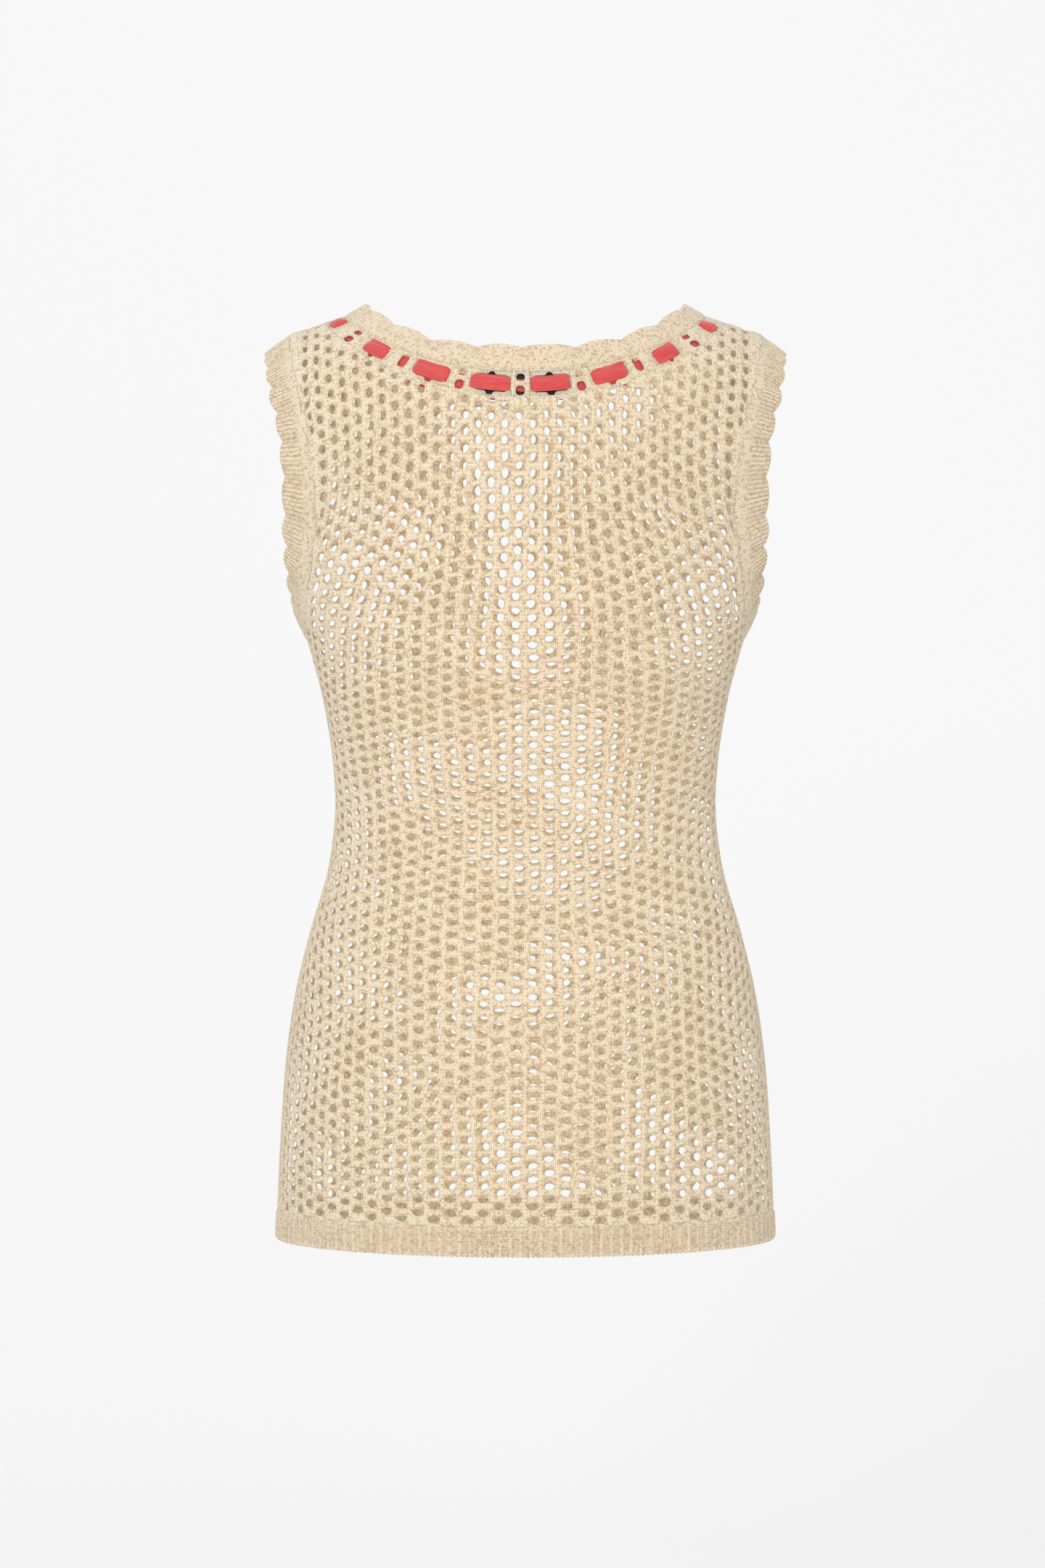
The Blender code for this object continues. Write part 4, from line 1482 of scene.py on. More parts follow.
@dataclass
class LoopTrim:
    """A knitted band round an opening, from its seam to a scalloped free edge."""

    name: str
    node: str
    flat: tuple[float, float]
    scallops: int
    columns_per_scallop: int = 28
    wall: float = 3.0 * MM
    seam_wall: float = 0.8 * MM
    start: float = -0.06
    rise: float = 2.6 * MM
    ruffle: float = 1.5 * MM
    crease_shade: float = 0.3
    sharpness: float = 0.75
    mean: float = 0.6
    rows: int = 12
    ridged_from: float = 2.0
    ridges_per_scallop: int = 8
    ridge_relief: float = 0.0
    valley_shade: float = 0.45
    stitch_width: float = 2.25 * MM
    stitch_height: float = 1.7 * MM
    seed: int = 3
    spacing_waves: tuple = ((0.35, 3), (0.25, 7))
    size_waves: tuple = ((0.18, 5), (0.12, 11))
    lift_power: float = 1.6
    drawn_width: float = 0.12
    ridge_wander: float = 0.3
    ridge_roundness: float = 0.8
    ridge_middle: float = 0.4
    inner_relief: float = 0.3
    crown_width: float = 0.26
    edge_thinning: float = 0.85
    edge_depth: float = 0.8

    def build(
        self,
        turn: Array,
        seam: Array,
        seam_normal: Array,
        free: Array,
        finish: bpy.types.Material,
    ) -> bpy.types.Object:
        """Makes the trim.

        Args:
            turn: Turns round the opening.
            seam: Points of the seam.
            seam_normal: Outward directions at the seam.
            free: Points of the free edge before its scallops.
            finish: Its material.

        Returns:
            The trim's object.
        """
        random = np.random.default_rng(self.seed)
        across = unit(free - seam)
        outward = unit(np.cross(across, loop_directions(seam)))
        outward *= np.sign(np.sum(outward * seam_normal, axis=-1, keepdims=True))
        phase = random.uniform(0, 2 * math.pi, 4)
        uneven = sine_waves(turn, self.spacing_waves, phase[:2])
        bumps = np.abs(np.sin((turn * self.scallops + uneven) / 2)) ** self.sharpness
        size = 1 + sine_waves(turn, self.size_waves, phase[2:])
        swing = ((bumps - self.mean) * size)[:, None]
        width = np.linalg.norm(free - seam, axis=-1)
        profile = self._profile()
        points, places, ridged, shades = [], [], [], []
        length, around = self._lengths(seam)
        count = turn * self.scallops * self.ridges_per_scallop / 2
        for share, offset, beyond in profile:
            lift = max(share, 0.0) ** self.lift_power
            middle = seam + (free - seam) * share
            middle = middle + (across * self.rise + outward * self.ruffle) * swing * lift
            normal = unit(seam_normal * (1 - share) + outward * share)
            drawn = ease((share - self.ridged_from) / self.drawn_width)
            wave = np.sin(9 * share + 5 * turn + phase[0]) * np.sin(7 * share + 13 * turn)
            ridge = np.abs(np.sin(count + self.ridge_wander * wave)) ** self.ridge_roundness
            ridge = ridge * (0.55 + 0.45 * bumps) * drawn
            relief = self.ridge_relief * (1 if offset > 0 else self.inner_relief)
            relief = (ridge - self.ridge_middle * drawn) * relief
            middle = middle + normal * relief[:, None]
            crease = self.crease_shade * (1 - bumps) ** 2 * lift * (1 - drawn)
            shades.append((drawn - ridge) * self.valley_shade + crease)
            points.append(middle + normal * offset + across * beyond)
            place = [length / self.stitch_width, share * width / self.stitch_height]
            places.append(np.stack(place, axis=-1))
            ridged.append(np.full(len(turn), drawn * (self.ridge_relief == 0)))
        points = np.concatenate(points)
        faces = faces_outward(points, ring_faces(len(profile), len(turn)))
        masks = {"ridged": np.concatenate(ridged), "shade": np.concatenate(shades)}
        uv = np.concatenate(places)
        made = cloth_object(self.name, points, faces, uv, masks, finish, around)
        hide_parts(self.node)
        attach(made, "root")
        return made

    def _lengths(self, seam: Array) -> tuple[Array, int]:
        """Lengths along the seam, scaled to a whole number of stitches.

        Args:
            seam: Points of the seam.

        Returns:
            The lengths at those points, and the stitches once round.
        """
        steps = loop_steps(seam)
        stitches = round(steps.sum() / self.stitch_width)
        return adding_up(steps)[:-1] * stitches * self.stitch_width / steps.sum(), stitches

    def _profile(self) -> list[tuple[float, float, float]]:
        """The band's cross-section.

        Returns:
            Shares of its width, each with an offset outwards and one beyond the free edge.
        """
        shares = np.linspace(self.start, 1.0, self.rows + 1)
        crown = ease((shares - self.start) / self.crown_width)
        half = (self.seam_wall + (self.wall - self.seam_wall) * crown) / 2
        half[-1] *= self.edge_thinning
        last = half[-1]
        outer = [(s, h, 0.0) for s, h in zip(shares, half)]
        turns = np.linspace(0, math.pi, 5)[1:-1]
        edge = [(1.0, last * math.cos(a), last * self.edge_depth * math.sin(a)) for a in turns]
        inner = [(s, -h, 0.0) for s, h in zip(shares[::-1], half[::-1])]
        return outer + edge + inner


@dataclass
class HemBand:
    """The ribbed band round the hem, whose ribs stand out as narrow lines."""

    form: WornForm
    name: str = "rib_hem"
    flat: tuple[float, float] = (0.90, 0.019)
    ribs: int = 134
    columns_per_rib: int = 12
    wall: float = 3.0 * MM
    rows: int = 9
    relief: float = 0.8 * MM
    between_shade: float = 0.22
    tuck: float = 2.4 * MM
    edge_bumps_per_rib: int = 2
    edge_bump: float = 1.0 * MM
    stitch_height: float = 1.8 * MM
    stitches_per_rib: int = 3
    rib_width: float = 0.15
    rib_middle: float = 0.4
    first_rise: float = 3.0 * MM
    tucked_share: float = 0.24
    tucked_growth: float = 0.33

    def build(self, finish: bpy.types.Material) -> bpy.types.Object:
        """Makes the band.

        Args:
            finish: Its material.

        Returns:
            The band's object.
        """
        columns = self.ribs * self.columns_per_rib
        turn = turns_round(columns)
        rib = np.arange(columns) / self.columns_per_rib
        raised = np.exp(-(((np.mod(rib, 1.0) - 0.5) / self.rib_width) ** 2))
        bumps = np.abs(np.sin(math.pi * rib * self.edge_bumps_per_rib))
        points, places, shades = [], [], []
        for height, offset, drop in self._profile():
            middle, normal = self._line(turn, height)
            down = ease((HEM_SEAM - height) / self.first_rise + self.rib_middle)
            out = offset + (raised - self.rib_middle) * self.relief * (offset > 0) * down
            shades.append((1 - raised) * self.between_shade * down)
            line = middle + normal * out[:, None]
            line[:, 2] -= drop + self.edge_bump * bumps * (drop > 0)
            points.append(line)
            up = np.full(columns, (height - HEM_BOTTOM) / self.stitch_height)
            places.append(np.stack([rib * self.stitches_per_rib, up], axis=-1))
        points, uv = np.concatenate(points), np.concatenate(places)
        faces = faces_outward(points, ring_faces(len(points) // columns, columns))
        masks = {"ridged": np.zeros(len(points)), "shade": np.concatenate(shades)}
        around = self.ribs * self.stitches_per_rib
        made = cloth_object(self.name, points, faces, uv, masks, finish, around)
        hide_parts("hem_band")
        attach(made, "root")
        return made

    def _profile(self) -> list[tuple[float, float, float]]:
        """The band's cross-section.

        Returns:
            Heights, each with an offset outwards and one down.
        """
        half = self.wall / 2
        heights = np.linspace(HEM_SEAM + self.tuck, HEM_BOTTOM + half, self.rows + 1)
        grown = [self.tucked_share + self.tucked_growth * i for i in range(len(heights))]
        outer = [(h, half * min(1.0, share), 0.0) for h, share in zip(heights, grown)]
        turns = np.linspace(0, math.pi, 6)[1:-1]
        edge = [(heights[-1], half * math.cos(a), half * math.sin(a)) for a in turns]
        inner = [(h, -offset, 0.0) for h, offset, _ in reversed(outer)]
        return outer + edge + inner

    def _line(self, turn: Array, height: float) -> tuple[Array, Array]:
        """A line round the hem, which dips towards the centres.

        Args:
            turn: Turns round the hem, from the centre back.
            height: The line's height at the sides.

        Returns:
            Its points and their outward directions.
        """
        points, normals = np.zeros((len(turn), 3)), np.zeros((len(turn), 3))
        for side in Side:
            mine = (np.cos(turn) >= 0.0) == (side is Side.BACK)
            share = np.sin(self._even_turn(side, height, turn[mine]))
            x = self.form.section(np.array([height]), "half_width")[0] * share
            z = height - HEM_DIP * (1 - share**2)
            points[mine], normals[mine] = self.form.on_skin(side, x, z)
        return points, normals

    def _even_turn(self, side: Side, z: float, turn: Array) -> Array:
        """Turns that give points an even distance apart round a section.

        Args:
            side: Which half of the garment.
            z: Height of the section.
            turn: Even turns.

        Returns:
            The turns in their place.
        """
        fine = np.linspace(0.0, math.pi / 2, 600)
        x = self.form.section(np.array([z]), "half_width")[0] * np.sin(fine)
        y = self.form.depth(side, x, np.full(len(x), z))
        length = adding_up(np.hypot(np.diff(x), np.diff(y)))
        quarter = np.abs(np.arcsin(np.sin(turn))) / (math.pi / 2)
        return np.sign(np.sin(turn)) * np.interp(quarter, length / length[-1], fine)


@dataclass
class ThreadedRow:
    """The row under the neck trim, of windows and two-hole ladders for the ribbon."""

    neckline: Neckline
    name: str = "ribbon_eyelets"
    flat: tuple[float, float] = (0.66, 0.019)
    periods: int = 16
    shift: float = -3.7 * MM
    ladder: float = 0.245
    foot: float = 1.12
    head: float = -0.12
    edge_share: float = 0.35
    wall: float = 2.3 * MM
    rim_share: float = 0.42
    rim_shade: float = 0.3
    cloth_share: float = 0.62
    window_share: float = 0.90
    window_height: float = 0.53
    window_drop: float = 0.06
    window_corner: float = 0.28
    window_narrowing: float = 0.55
    notch: float = 0.30
    notch_width: float = 0.17
    notch_reach: float = 0.5
    shoulder_slimming: float = 0.68
    slots: tuple[float, float] = (0.6, 0.85)
    slot_size: tuple[float, float] = (0.55, 0.50)
    slot_squareness: float = 3.0
    ladder_width: float = 0.60
    ladder_heights: tuple[float, float] = (0.46, 0.62)
    ladder_drops: tuple[float, float] = (0.26, -0.10)
    ladder_squareness: float = 2.6
    window_steps: int = 20
    ladder_steps: int = 4
    tall_steps: int = 8
    stitch_width: float = 2.3 * MM
    stitch_height: float = 2.0 * MM

    def at(self, share: Array, down: Array) -> tuple[Array, Array]:
        """Points of the row.

        Args:
            share: Shares of its length.
            down: Shares of its width below the trim's seam.

        Returns:
            The points and their outward directions.
        """
        turn = self.neckline.turns(share + self.shift / self.length)
        levels = np.unique(down)
        points, normals = np.zeros((len(turn), 3)), np.zeros((len(turn), 3))
        for value in levels:
            mine = down == value
            points[mine], normals[mine] = self.neckline.line(turn[mine], value)
        return points, normals

    def slimming(self, place: Array) -> Array:
        """How much of its full length a window keeps, less towards the shoulders."""
        beside = np.abs(np.sin(2 * math.pi * place / self.periods))
        return 1 - self.shoulder_slimming * beside**3

    def build(self, finish: bpy.types.Material) -> bpy.types.Object:
        """Makes the row.

        Args:
            finish: Its material.

        Returns:
            The row's object.
        """
        self.length = self.neckline.length()
        keys: dict = {}
        share, down, outward = [], [], []
        faces = []

        def vertex(s: float, d: float, out: float, shared: bool) -> int:
            """Adds a point of the row.

            Args:
                s: Its place along the row, in periods.
                d: Its share of the row's width.
                out: Its share of half the wall, outwards.
                shared: Whether neighbouring cells have it in common.

            Returns:
                Its number.
            """
            key = (round(s % self.periods, 5), round(d, 5), out)
            if shared and key in keys:
                return keys[key]
            keys[key] = len(share)
            share.append(s / self.periods)
            down.append(round(d, 4))
            outward.append(out)
            return keys[key]

        ends = (self.head, self.foot)
        for *cell, wide_steps, tall_steps, kind in self._cells():
            border = self._border(*cell, wide_steps, tall_steps)
            hole = self._hole(border, *cell, kind)
            outs = [self.edge_share if d in ends else 1.0 for _, d in border]
            outer = [vertex(s, d, out, True) for (s, d), out in zip(border, outs)]
            inner = [vertex(s, d, -out, True) for (s, d), out in zip(border, outs)]
            hole_outer = [vertex(s, d, self.rim_share, False) for s, d in hole]
            hole_inner = [vertex(s, d, -self.rim_share, False) for s, d in hole]
            for i in range(len(border)):
                j = (i + 1) % len(border)
                faces.append([outer[i], outer[j], hole_outer[j], hole_outer[i]])
                faces.append([inner[j], inner[i], hole_inner[i], hole_inner[j]])
                faces.append([hole_outer[i], hole_outer[j], hole_inner[j], hole_inner[i]])
                if border[i][1] == border[j][1] and border[i][1] in ends:
                    faces.append([outer[j], outer[i], inner[i], inner[j]])
        share_values, down_values = np.array(share), np.array(down)
        points, normals = self.at(share_values, down_values)
        points = points + normals * (np.array(outward) * self.wall / 2)[:, None]
        faces = faces_outward(points, faces)
        around = self.length / self.stitch_width
        tall = self.neckline.row_height / self.stitch_height
        uv = np.stack([share_values * around, -down_values * tall], axis=-1)
        shade = np.where(np.abs(np.array(outward)) == self.rim_share, self.rim_shade, 0.0)
        masks = {"ridged": np.zeros(len(points)), "shade": shade}
        made = cloth_object(self.name, points, faces, uv, masks, finish, around)
        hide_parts("eyelet_row")
        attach(made, "root")
        return made

    def _cells(self) -> list[tuple[float, float, float, float, int, int, str]]:
        """The row's cells, a window and a ladder or a slot in each period.

        Returns:
            Each cell's left, right, top and bottom, its steps along and up, and its kind.
        """
        cells = []
        half, middle = self.ladder / 2, (self.head + self.foot) / 2
        for n in range(self.periods):
            beside = abs(math.sin(2 * math.pi * n / self.periods))
            left, right, steps = n - half, n + half, self.ladder_steps
            if self.slots[0] < beside < self.slots[1]:
                cells.append((left, right, self.head, self.foot, steps, self.tall_steps, "slot"))
            else:
                rows = ((self.head, middle), (middle, self.foot))
                tall = self.tall_steps // 2
                cells += [(left, right, top, bottom, steps, tall, "ladder") for top, bottom in rows]
            window = (right, left + 1, self.head, self.foot)
            cells.append((*window, self.window_steps, self.tall_steps, "window"))
        return cells

    def _border(
        self, left: float, right: float, top: float, bottom: float, wide: int, tall: int
    ) -> list[tuple[float, float]]:
        """Points round a cell.

        Args:
            left: Its left end.
            right: Its right end.
            top: Its top.
            bottom: Its bottom.
            wide: Steps along it.
            tall: Steps up it.

        Returns:
            The points, from its lower left corner to the right.
        """
        across = np.linspace(left, right, wide + 1)
        up = np.linspace(bottom, top, tall + 1)
        path = [(s, bottom) for s in across[:-1]] + [(right, d) for d in up[:-1]]
        path += [(s, top) for s in across[:0:-1]] + [(left, d) for d in up[:0:-1]]
        return [(float(s), float(d)) for s, d in path]

    def _hole(
        self, border: list, left: float, right: float, top: float, bottom: float, kind: str
    ) -> list[tuple[float, float]]:
        """Points round the hole of a cell.

        Args:
            border: Points round the cell.
            left: The cell's left end.
            right: Its right end.
            top: Its top.
            bottom: Its bottom.
            kind: "ladder", "slot" or "window".

        Returns:
            A point for each point of the border.
        """
        middle = np.array([(left + right) / 2, (top + bottom) / 2])
        half = np.array([(right - left) / 2, (bottom - top) / 2])
        lower = bottom >= self.foot
        result = []
        for place in border:
            x, y = (np.array(place) - middle) / half
            if kind == "ladder":
                radius = rounded_square(x, y, self.ladder_squareness)
                x, y = x * radius * self.ladder_width, y * radius * self.ladder_heights[lower]
                y += self.ladder_drops[lower]
            elif kind == "slot":
                radius = rounded_square(x, y, self.slot_squareness)
                x, y = x * radius * self.slot_size[0], y * radius * self.slot_size[1]
            else:
                x, y = self._window_point(x, y, middle[0])
            result.append(tuple(float(v) for v in middle + half * (x, y)))
        return result

    def _window_point(self, x: float, y: float, place: float) -> tuple[float, float]:
        """A point round a window, which narrows to its ends and has notches at its middle.

        Args:
            x: The place on the cell's border along the row, from -1 to 1.
            y: The place on it down the row, from -1 to 1.
            place: The window's place along the row, in periods.

        Returns:
            The point's place along and down the row, in the same shares.
        """
        beside = abs(math.sin(2 * math.pi * place / self.periods))
        above = self.notch * (1 - ease(beside / self.notch_reach))
        notch = above if y < 0 else self.notch
        notch = notch * math.exp(-((x / self.notch_width) ** 4)) * (abs(y) > 0.99)
        corner = (abs(x) - 1 + self.window_corner) / self.window_corner
        height = self.window_height * (1 - self.window_narrowing * ease(corner))
        width = self.window_share * float(self.slimming(place))
        return x * width, y * (height + notch) + self.window_drop


@dataclass
class ThreadedRibbon:
    """The flat ribbon, out over each window and in behind each ladder."""

    neckline: Neckline
    row: ThreadedRow
    name: str = "threaded_ribbon"
    flat: tuple[float, float] = (0.70, 0.0105)
    wall: float = 0.7 * MM
    half_width: float = 5.3 * MM
    pinched: float = 0.8
    out: float = 1.1 * MM
    sunk: float = 1.9 * MM
    down: float = 0.55
    climb: float = 0.8 * MM
    columns_per_period: int = 44
    strips: int = 8
    seed: int = 11
    dive: float = 0.11
    widening: float = 0.085
    tilt: float = 0.4 * MM
    lift: float = 0.6 * MM
    crease: float = 0.35 * MM
    ripple: float = 0.22 * MM
    bow: float = 0.9 * MM
    grain_length: float = 10.0 * MM

    def build(self, finish: bpy.types.Material) -> bpy.types.Object:
        """Makes the ribbon.

        Args:
            finish: Its material.

        Returns:
            The ribbon's object.
        """
        random = np.random.default_rng(self.seed)
        periods, length = self.row.periods, self.row.length
        count = periods * self.columns_per_period
        share = np.arange(count) / count
        period = np.floor(share * periods).astype(int)
        within = share * periods - period
        near = np.minimum(within, 1 - within)
        window = (0.5 - self.row.ladder / 2) * self.row.window_share
        bar = 0.5 - window * self.row.slimming(period + 0.5)
        over = ease((near - bar + self.dive / 2) / self.dive)
        tilt = random.normal(0.0, self.tilt, periods)[period]
        lift = random.uniform(0.0, self.lift, periods)[period]
        open_share = ease((near - bar) / self.widening)
        width = self.half_width * (self.pinched + (1 - self.pinched) * open_share)
        width = np.where(near < bar, self.half_width * self.pinched, width)
        beside = np.sin(2 * math.pi * share) ** 2
        width = width + (self.half_width - width) * beside
        offset = -self.sunk + (self.sunk + self.out + lift) * over
        turn = self.neckline.turns(share + self.row.shift / length)
        line, normal = self.neckline.line(turn, self.down)
        up = unit(np.cross(loop_directions(line), normal))
        up *= np.sign(up[:, 2:3] + 1e-9)
        crest = np.sin(np.clip((near - bar) / (0.5 - bar), 0, 1) * math.pi / 2)
        slope = tilt * (within - 0.5) * 4
        rows = np.linspace(-1.0, 1.0, self.strips + 1)
        waves = random.uniform(0, 2 * math.pi, (periods, 3))[period]
        around = length / self.grain_length
        outer, inner, places = [], [], []
        for v in rows:
            crease = self.crease * np.sin(1.1 * math.pi * v + 3.0 * within + waves[:, 0])
            crease += self.ripple * np.sin(9.0 * within + 2.0 * v + waves[:, 1])
            bow = self.bow * (1 - v * v) * crest
            middle = line + up * (v * width + slope + self.climb * beside)[:, None]
            middle = middle + normal * (offset + (crease + bow) * over)[:, None]
            outer.append(middle + normal * self.wall / 2)
            inner.append(middle - normal * self.wall / 2)
            places.append(np.stack([share * around, np.full(count, v)], axis=-1))
        points = np.concatenate(outer + inner[::-1])
        faces = faces_outward(points, ring_faces(2 * len(rows), count))
        uv = np.concatenate(places + places[::-1])
        made = cloth_object(self.name, points, faces, uv, {}, finish, around)
        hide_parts("ribbon")
        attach(made, "root")
        return made


@dataclass
class NeckLabel:
    """The small bare label inside the centre back, behind the threaded ribbon."""

    neckline: Neckline
    name: str = "bare_label"
    flat: tuple[float, float] = (0.070, 0.013)
    half_length: float = 35.0 * MM
    levels: tuple[float, float] = (0.02, 1.02)
    sunk: float = 3.1 * MM
    wall: float = 0.6 * MM
    columns: int = 40
    rows: int = 6

    def build(self, finish: bpy.types.Material) -> bpy.types.Object:
        """Makes the label.

        Args:
            finish: Its material.

        Returns:
            The label's object.
        """
        reach = self.half_length / self.neckline.length()
        turn = self.neckline.turns(np.linspace(-reach, reach, self.columns + 1))
        mesh = bmesh.new()
        grids = []
        for depth in (self.sunk, self.sunk + self.wall):
            grid = []
            for down in np.linspace(self.levels[1], self.levels[0], self.rows + 1):
                line, normal = self.neckline.line(turn, down)
                grid.append([mesh.verts.new(p) for p in line - normal * depth])
            grids.append(grid)
        outer, inner = grids
        for r in range(self.rows):
            for c in range(self.columns):
                mesh.faces.new((outer[r][c], outer[r][c + 1], outer[r + 1][c + 1], outer[r + 1][c]))
                mesh.faces.new((inner[r][c], inner[r + 1][c], inner[r + 1][c + 1], inner[r][c + 1]))
        loose = [e for e in mesh.edges if e.is_boundary]
        bmesh.ops.bridge_loops(mesh, edges=loose)
        bmesh.ops.recalc_face_normals(mesh, faces=mesh.faces)
        data = bpy.data.meshes.new(self.name)
        mesh.to_mesh(data)
        mesh.free()
        data.materials.append(finish)
        data.shade_smooth()
        made = bpy.data.objects.new(self.name, data)
        bpy.context.scene.collection.objects.link(made)
        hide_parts("neck_label")
        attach(made, "root")
        return made


@dataclass(frozen=True)
class Studio:
    """A pale sweep, soft lights and the camera of the photograph's view."""

    distance: float = 3.1
    centre: tuple[float, float] = (-1.96 * MM, -308.7 * MM)
    frame_height: float = 1.0584
    floor_drop: float = 1.05
    floor_size: float = 14.0
    wall_distance: float = 2.6
    wall_height: float = 6.0
    bend: float = 1.2
    bend_steps: int = 24
    backdrop: tuple[float, float, float] = (0.40, 0.40, 0.40)
    glow: float = 0.49
    surround: float = 0.87
    aim: tuple[float, float, float] = (0.0, 0.0, -0.3)
    softboxes: tuple = (
        ("key_softbox", (-0.9, -2.6, 0.7), (1.0, 1.0), 43.0),
        ("fill_softbox", (0.9, -2.9, -0.1), (1.6, 1.6), 22.0),
        ("top_softbox", (0.0, -0.4, 2.1), (2.6, 2.0), 6.0),
    )
    inner_fill: tuple[float, float] = (0.2, 0.59)
    inner_power: float = 0.18
    inner_tint: tuple[float, float, float] = (1.0, 0.90, 0.74)

    def build(self) -> None:
        """Makes the stage, the lights and the camera."""
        self._sweep()
        self._lights()
        self._camera()
        bpy.context.scene.view_settings.view_transform = "Standard"

    def _sweep(self) -> None:
        """Makes the floor, whose far edge curves up behind the garment."""
        bpy.ops.object.select_all(action="DESELECT")
        place = (0.0, 0.0, -self.floor_drop)
        bpy.ops.mesh.primitive_plane_add(size=self.floor_size, location=place)
        sweep = bpy.context.object
        sweep.name = "pale_sweep"
        bpy.ops.object.mode_set(mode="EDIT")
        bpy.ops.mesh.select_all(action="DESELECT")
        mesh = bmesh.from_edit_mesh(sweep.data)
        for vertex in mesh.verts:
            vertex.co.y = min(vertex.co.y, self.wall_distance)
        self._select_fold(sweep)
        up = (0.0, 0.0, self.wall_height)
        bpy.ops.mesh.extrude_region_move(TRANSFORM_OT_translate={"value": up})
        bpy.ops.mesh.select_all(action="DESELECT")
        self._select_fold(sweep)
        bpy.ops.mesh.bevel(offset=self.bend, segments=self.bend_steps, affect="EDGES")
        bpy.ops.object.mode_set(mode="OBJECT")
        bpy.ops.object.transform_apply(location=True, rotation=True, scale=True)
        sweep.data.shade_smooth()
        paint, _, shader = new_material("pale_paper")
        constants = {
            "Base Color": (*self.backdrop, 1.0),
            "Roughness": 1.0,
            "Specular IOR Level": 0.0,
            "Emission Color": (1.0, 1.0, 1.0, 1.0),
            "Emission Strength": self.glow,
        }
        set_constants(shader, constants)
        sweep.data.materials.append(paint)

    def _select_fold(self, sweep: bpy.types.Object) -> None:
        """Selects the edge where the floor meets the wall.

        Args:
            sweep: The sweep, in edit mode.
        """
        mesh = bmesh.from_edit_mesh(sweep.data)
        for edge in mesh.edges:
            if all(abs(v.co.y - self.wall_distance) + abs(v.co.z) < MM for v in edge.verts):
                edge.select_set(True)
        bmesh.update_edit_mesh(sweep.data)

    def _lights(self) -> None:
        """Lights the garment softly from both sides of the camera, above and a little inside."""
        world = bpy.data.worlds.new("pale_room")
        world.use_nodes = True
        constants = {"Color": (1.0, 1.0, 1.0, 1.0), "Strength": self.surround}
        set_constants(world.node_tree.nodes["Background"], constants)
        bpy.context.scene.world = world
        for name, place, size, power in self.softboxes:
            toward = np.array(self.aim) - np.array(place)
            pitch = math.atan2(math.hypot(toward[0], toward[1]), -toward[2])
            turn = math.atan2(-toward[0], toward[1])
            self._area_light(name, place, (pitch, 0.0, turn), size, power)
        inside = (0.0, 0.0, self.centre[1])
        for name, pitch in (("inner_fill_front", math.pi / 2), ("inner_fill_back", -math.pi / 2)):
            turned = (pitch, 0.0, 0.0)
            made = self._area_light(name, inside, turned, self.inner_fill, self.inner_power)
            made.data.color = self.inner_tint
            made.visible_camera = False

    def _area_light(
        self, name: str, place: tuple, turned: tuple, size: tuple, power: float
    ) -> bpy.types.Object:
        """Makes an area light.

        Args:
            name: Its name.
            place: Where it stands.
            turned: How it is turned, from facing down.
            size: Its width and height.
            power: Its power in watts.

        Returns:
            The light's object.
        """
        light = bpy.data.lights.new(name, "AREA")
        light.shape = "RECTANGLE"
        light.size, light.size_y = size
        light.energy = power
        made = bpy.data.objects.new(name, light)
        bpy.context.scene.collection.objects.link(made)
        made.location = place
        made.rotation_euler = turned
        return made

    def _camera(self) -> None:
        """Sets a level camera behind the garment's back, framed as the photograph is."""
        data = bpy.data.cameras.new("photo_view")
        data.sensor_fit = "VERTICAL"
        data.angle_y = 2 * math.atan(self.frame_height / 2 / self.distance)
        camera = bpy.data.objects.new("photo_view", data)
        bpy.context.scene.collection.objects.link(camera)
        x, z = self.centre
        camera.location = (x, -self.distance, z)
        camera.rotation_euler = (math.pi / 2, 0.0, 0.0)
        bpy.context.scene.camera = camera


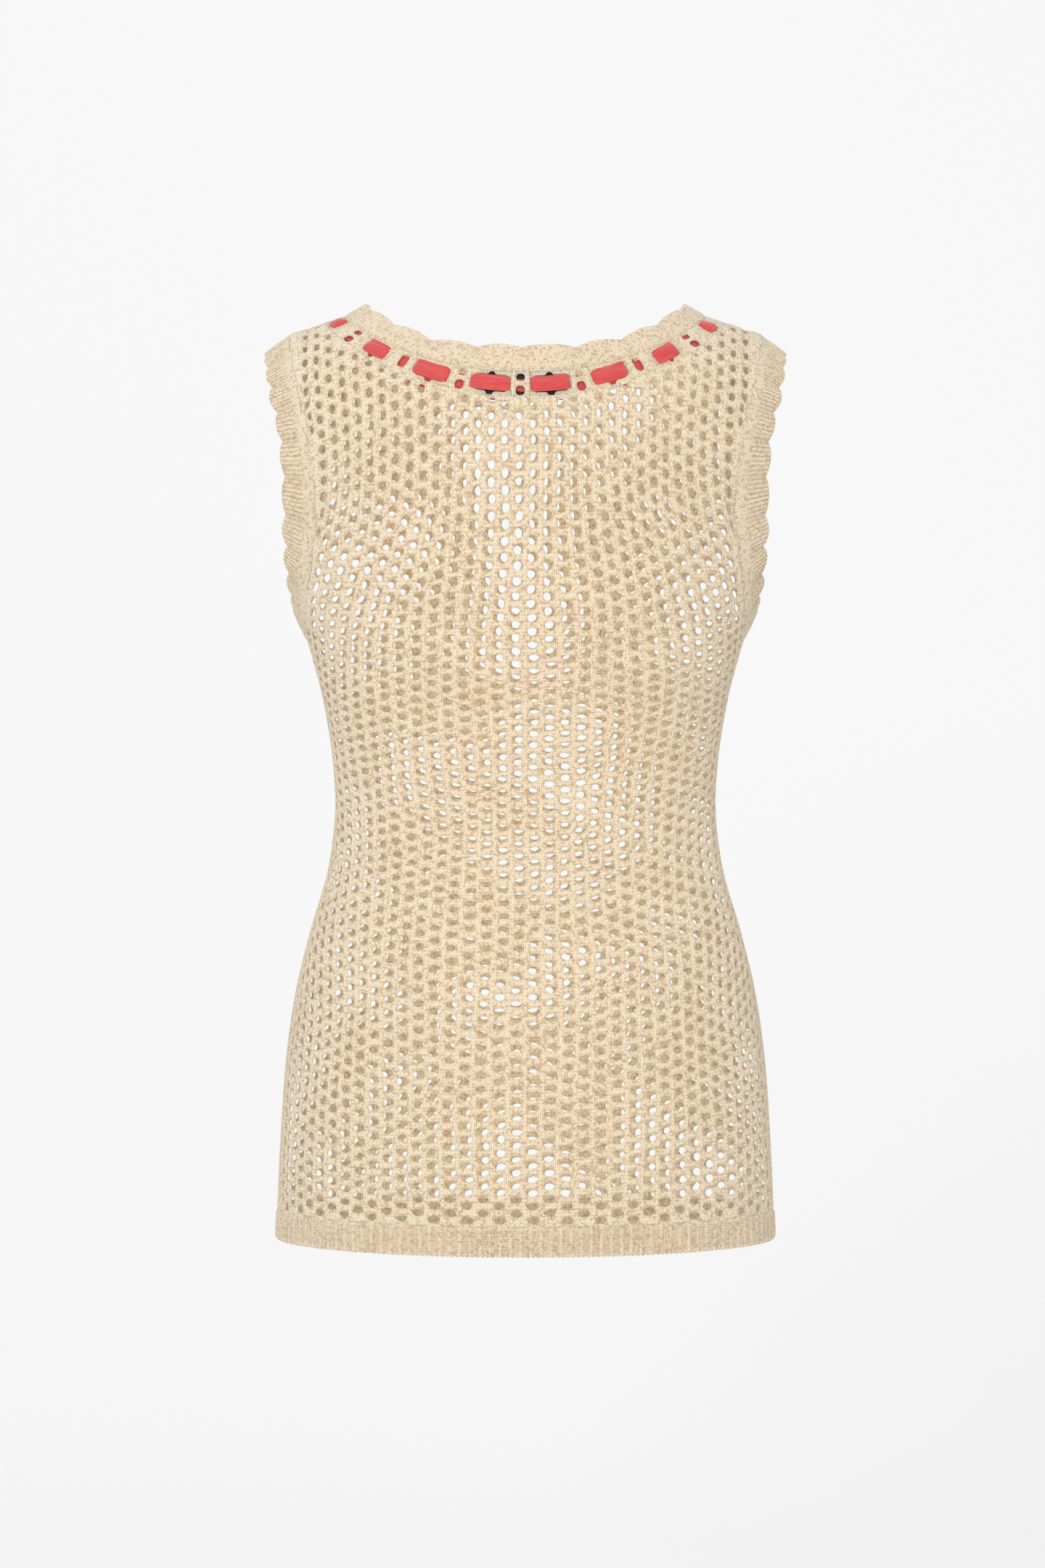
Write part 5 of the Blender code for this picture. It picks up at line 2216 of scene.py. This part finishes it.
@dataclass
class TankTop:
    """The whole garment."""

    form: WornForm = field(default_factory=WornForm)

    def build(self) -> list[bpy.types.Object]:
        """Makes every piece.

        Returns:
            The pieces' objects.
        """
        neckline, armhole = Neckline(self.form), Armhole(self.form)
        stitches, yarn = StitchRelief().group(), PliedYarn().group()
        mesh_finish = KnitFinish("open_mesh_knit", light=(0.83, 0.725, 0.58))
        mesh_finish = mesh_finish.build(stitches, yarn)
        trim_finish = KnitFinish("fine_trim_knit", light=(0.81, 0.70, 0.545))
        trim_finish = trim_finish.build(stitches, yarn)
        pieces = []
        for side in Side:
            pieces.append(NetPanel(side, self.form, neckline, armhole).build(mesh_finish))
        pieces.append(HemBand(self.form).build(trim_finish))
        pieces.append(self._neck_trim(neckline, trim_finish))
        for name, across in (("right", 1.0), ("left", -1.0)):
            pieces.append(self._arm_trim(armhole, name, across, trim_finish))
        row = ThreadedRow(neckline)
        pieces.append(row.build(mesh_finish))
        pieces.append(ThreadedRibbon(neckline, row).build(RibbonFinish().build()))
        pieces.append(NeckLabel(neckline).build(LabelFinish().build()))
        return pieces

    def _neck_trim(self, neckline: Neckline, finish: bpy.types.Material) -> bpy.types.Object:
        """Makes the scalloped trim round the neck.

        Args:
            neckline: The lines round the neck.
            finish: The trim's material.

        Returns:
            The trim's object.
        """
        trim = LoopTrim("neck_band", "neck_trim", (0.62, 0.017), scallops=20)
        turn = turns_round(trim.scallops * trim.columns_per_scallop)
        seam, normal = neckline.line(turn, 0.0)
        return trim.build(turn, seam, normal, neckline.free_edge(turn, seam), finish)

    def _arm_trim(
        self, armhole: Armhole, name: str, across: float, finish: bpy.types.Material
    ) -> bpy.types.Object:
        """Makes the scalloped trim round one armhole.

        Args:
            armhole: The lines round the armhole.
            name: "right" or "left".
            across: 1 on the +X side and -1 on the other.
            finish: The trim's material.

        Returns:
            The trim's object.
        """
        trim = LoopTrim(
            f"{name}_arm_band",
            f"{name}_arm_trim",
            (0.54, 0.02),
            scallops=24,
            columns_per_scallop=48,
            ridged_from=0.34,
            ridge_relief=0.9 * MM,
            start=-0.03,
            seed=5,
        )
        turn = turns_round(trim.scallops * trim.columns_per_scallop)
        seam, normal = armhole.seam(turn)
        mirror = np.array([across, 1.0, 1.0])
        free = armhole.free_edge(turn)
        return trim.build(turn, seam * mirror, normal * mirror, free * mirror, finish)


def main() -> None:
    """Builds the garment and its studio."""
    logging.basicConfig(level=logging.INFO, format="%(message)s")
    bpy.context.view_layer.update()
    for piece in TankTop().build():
        LOG.info("made %s", piece.name)
    Studio().build()


if __name__ == "__main__":
    main()
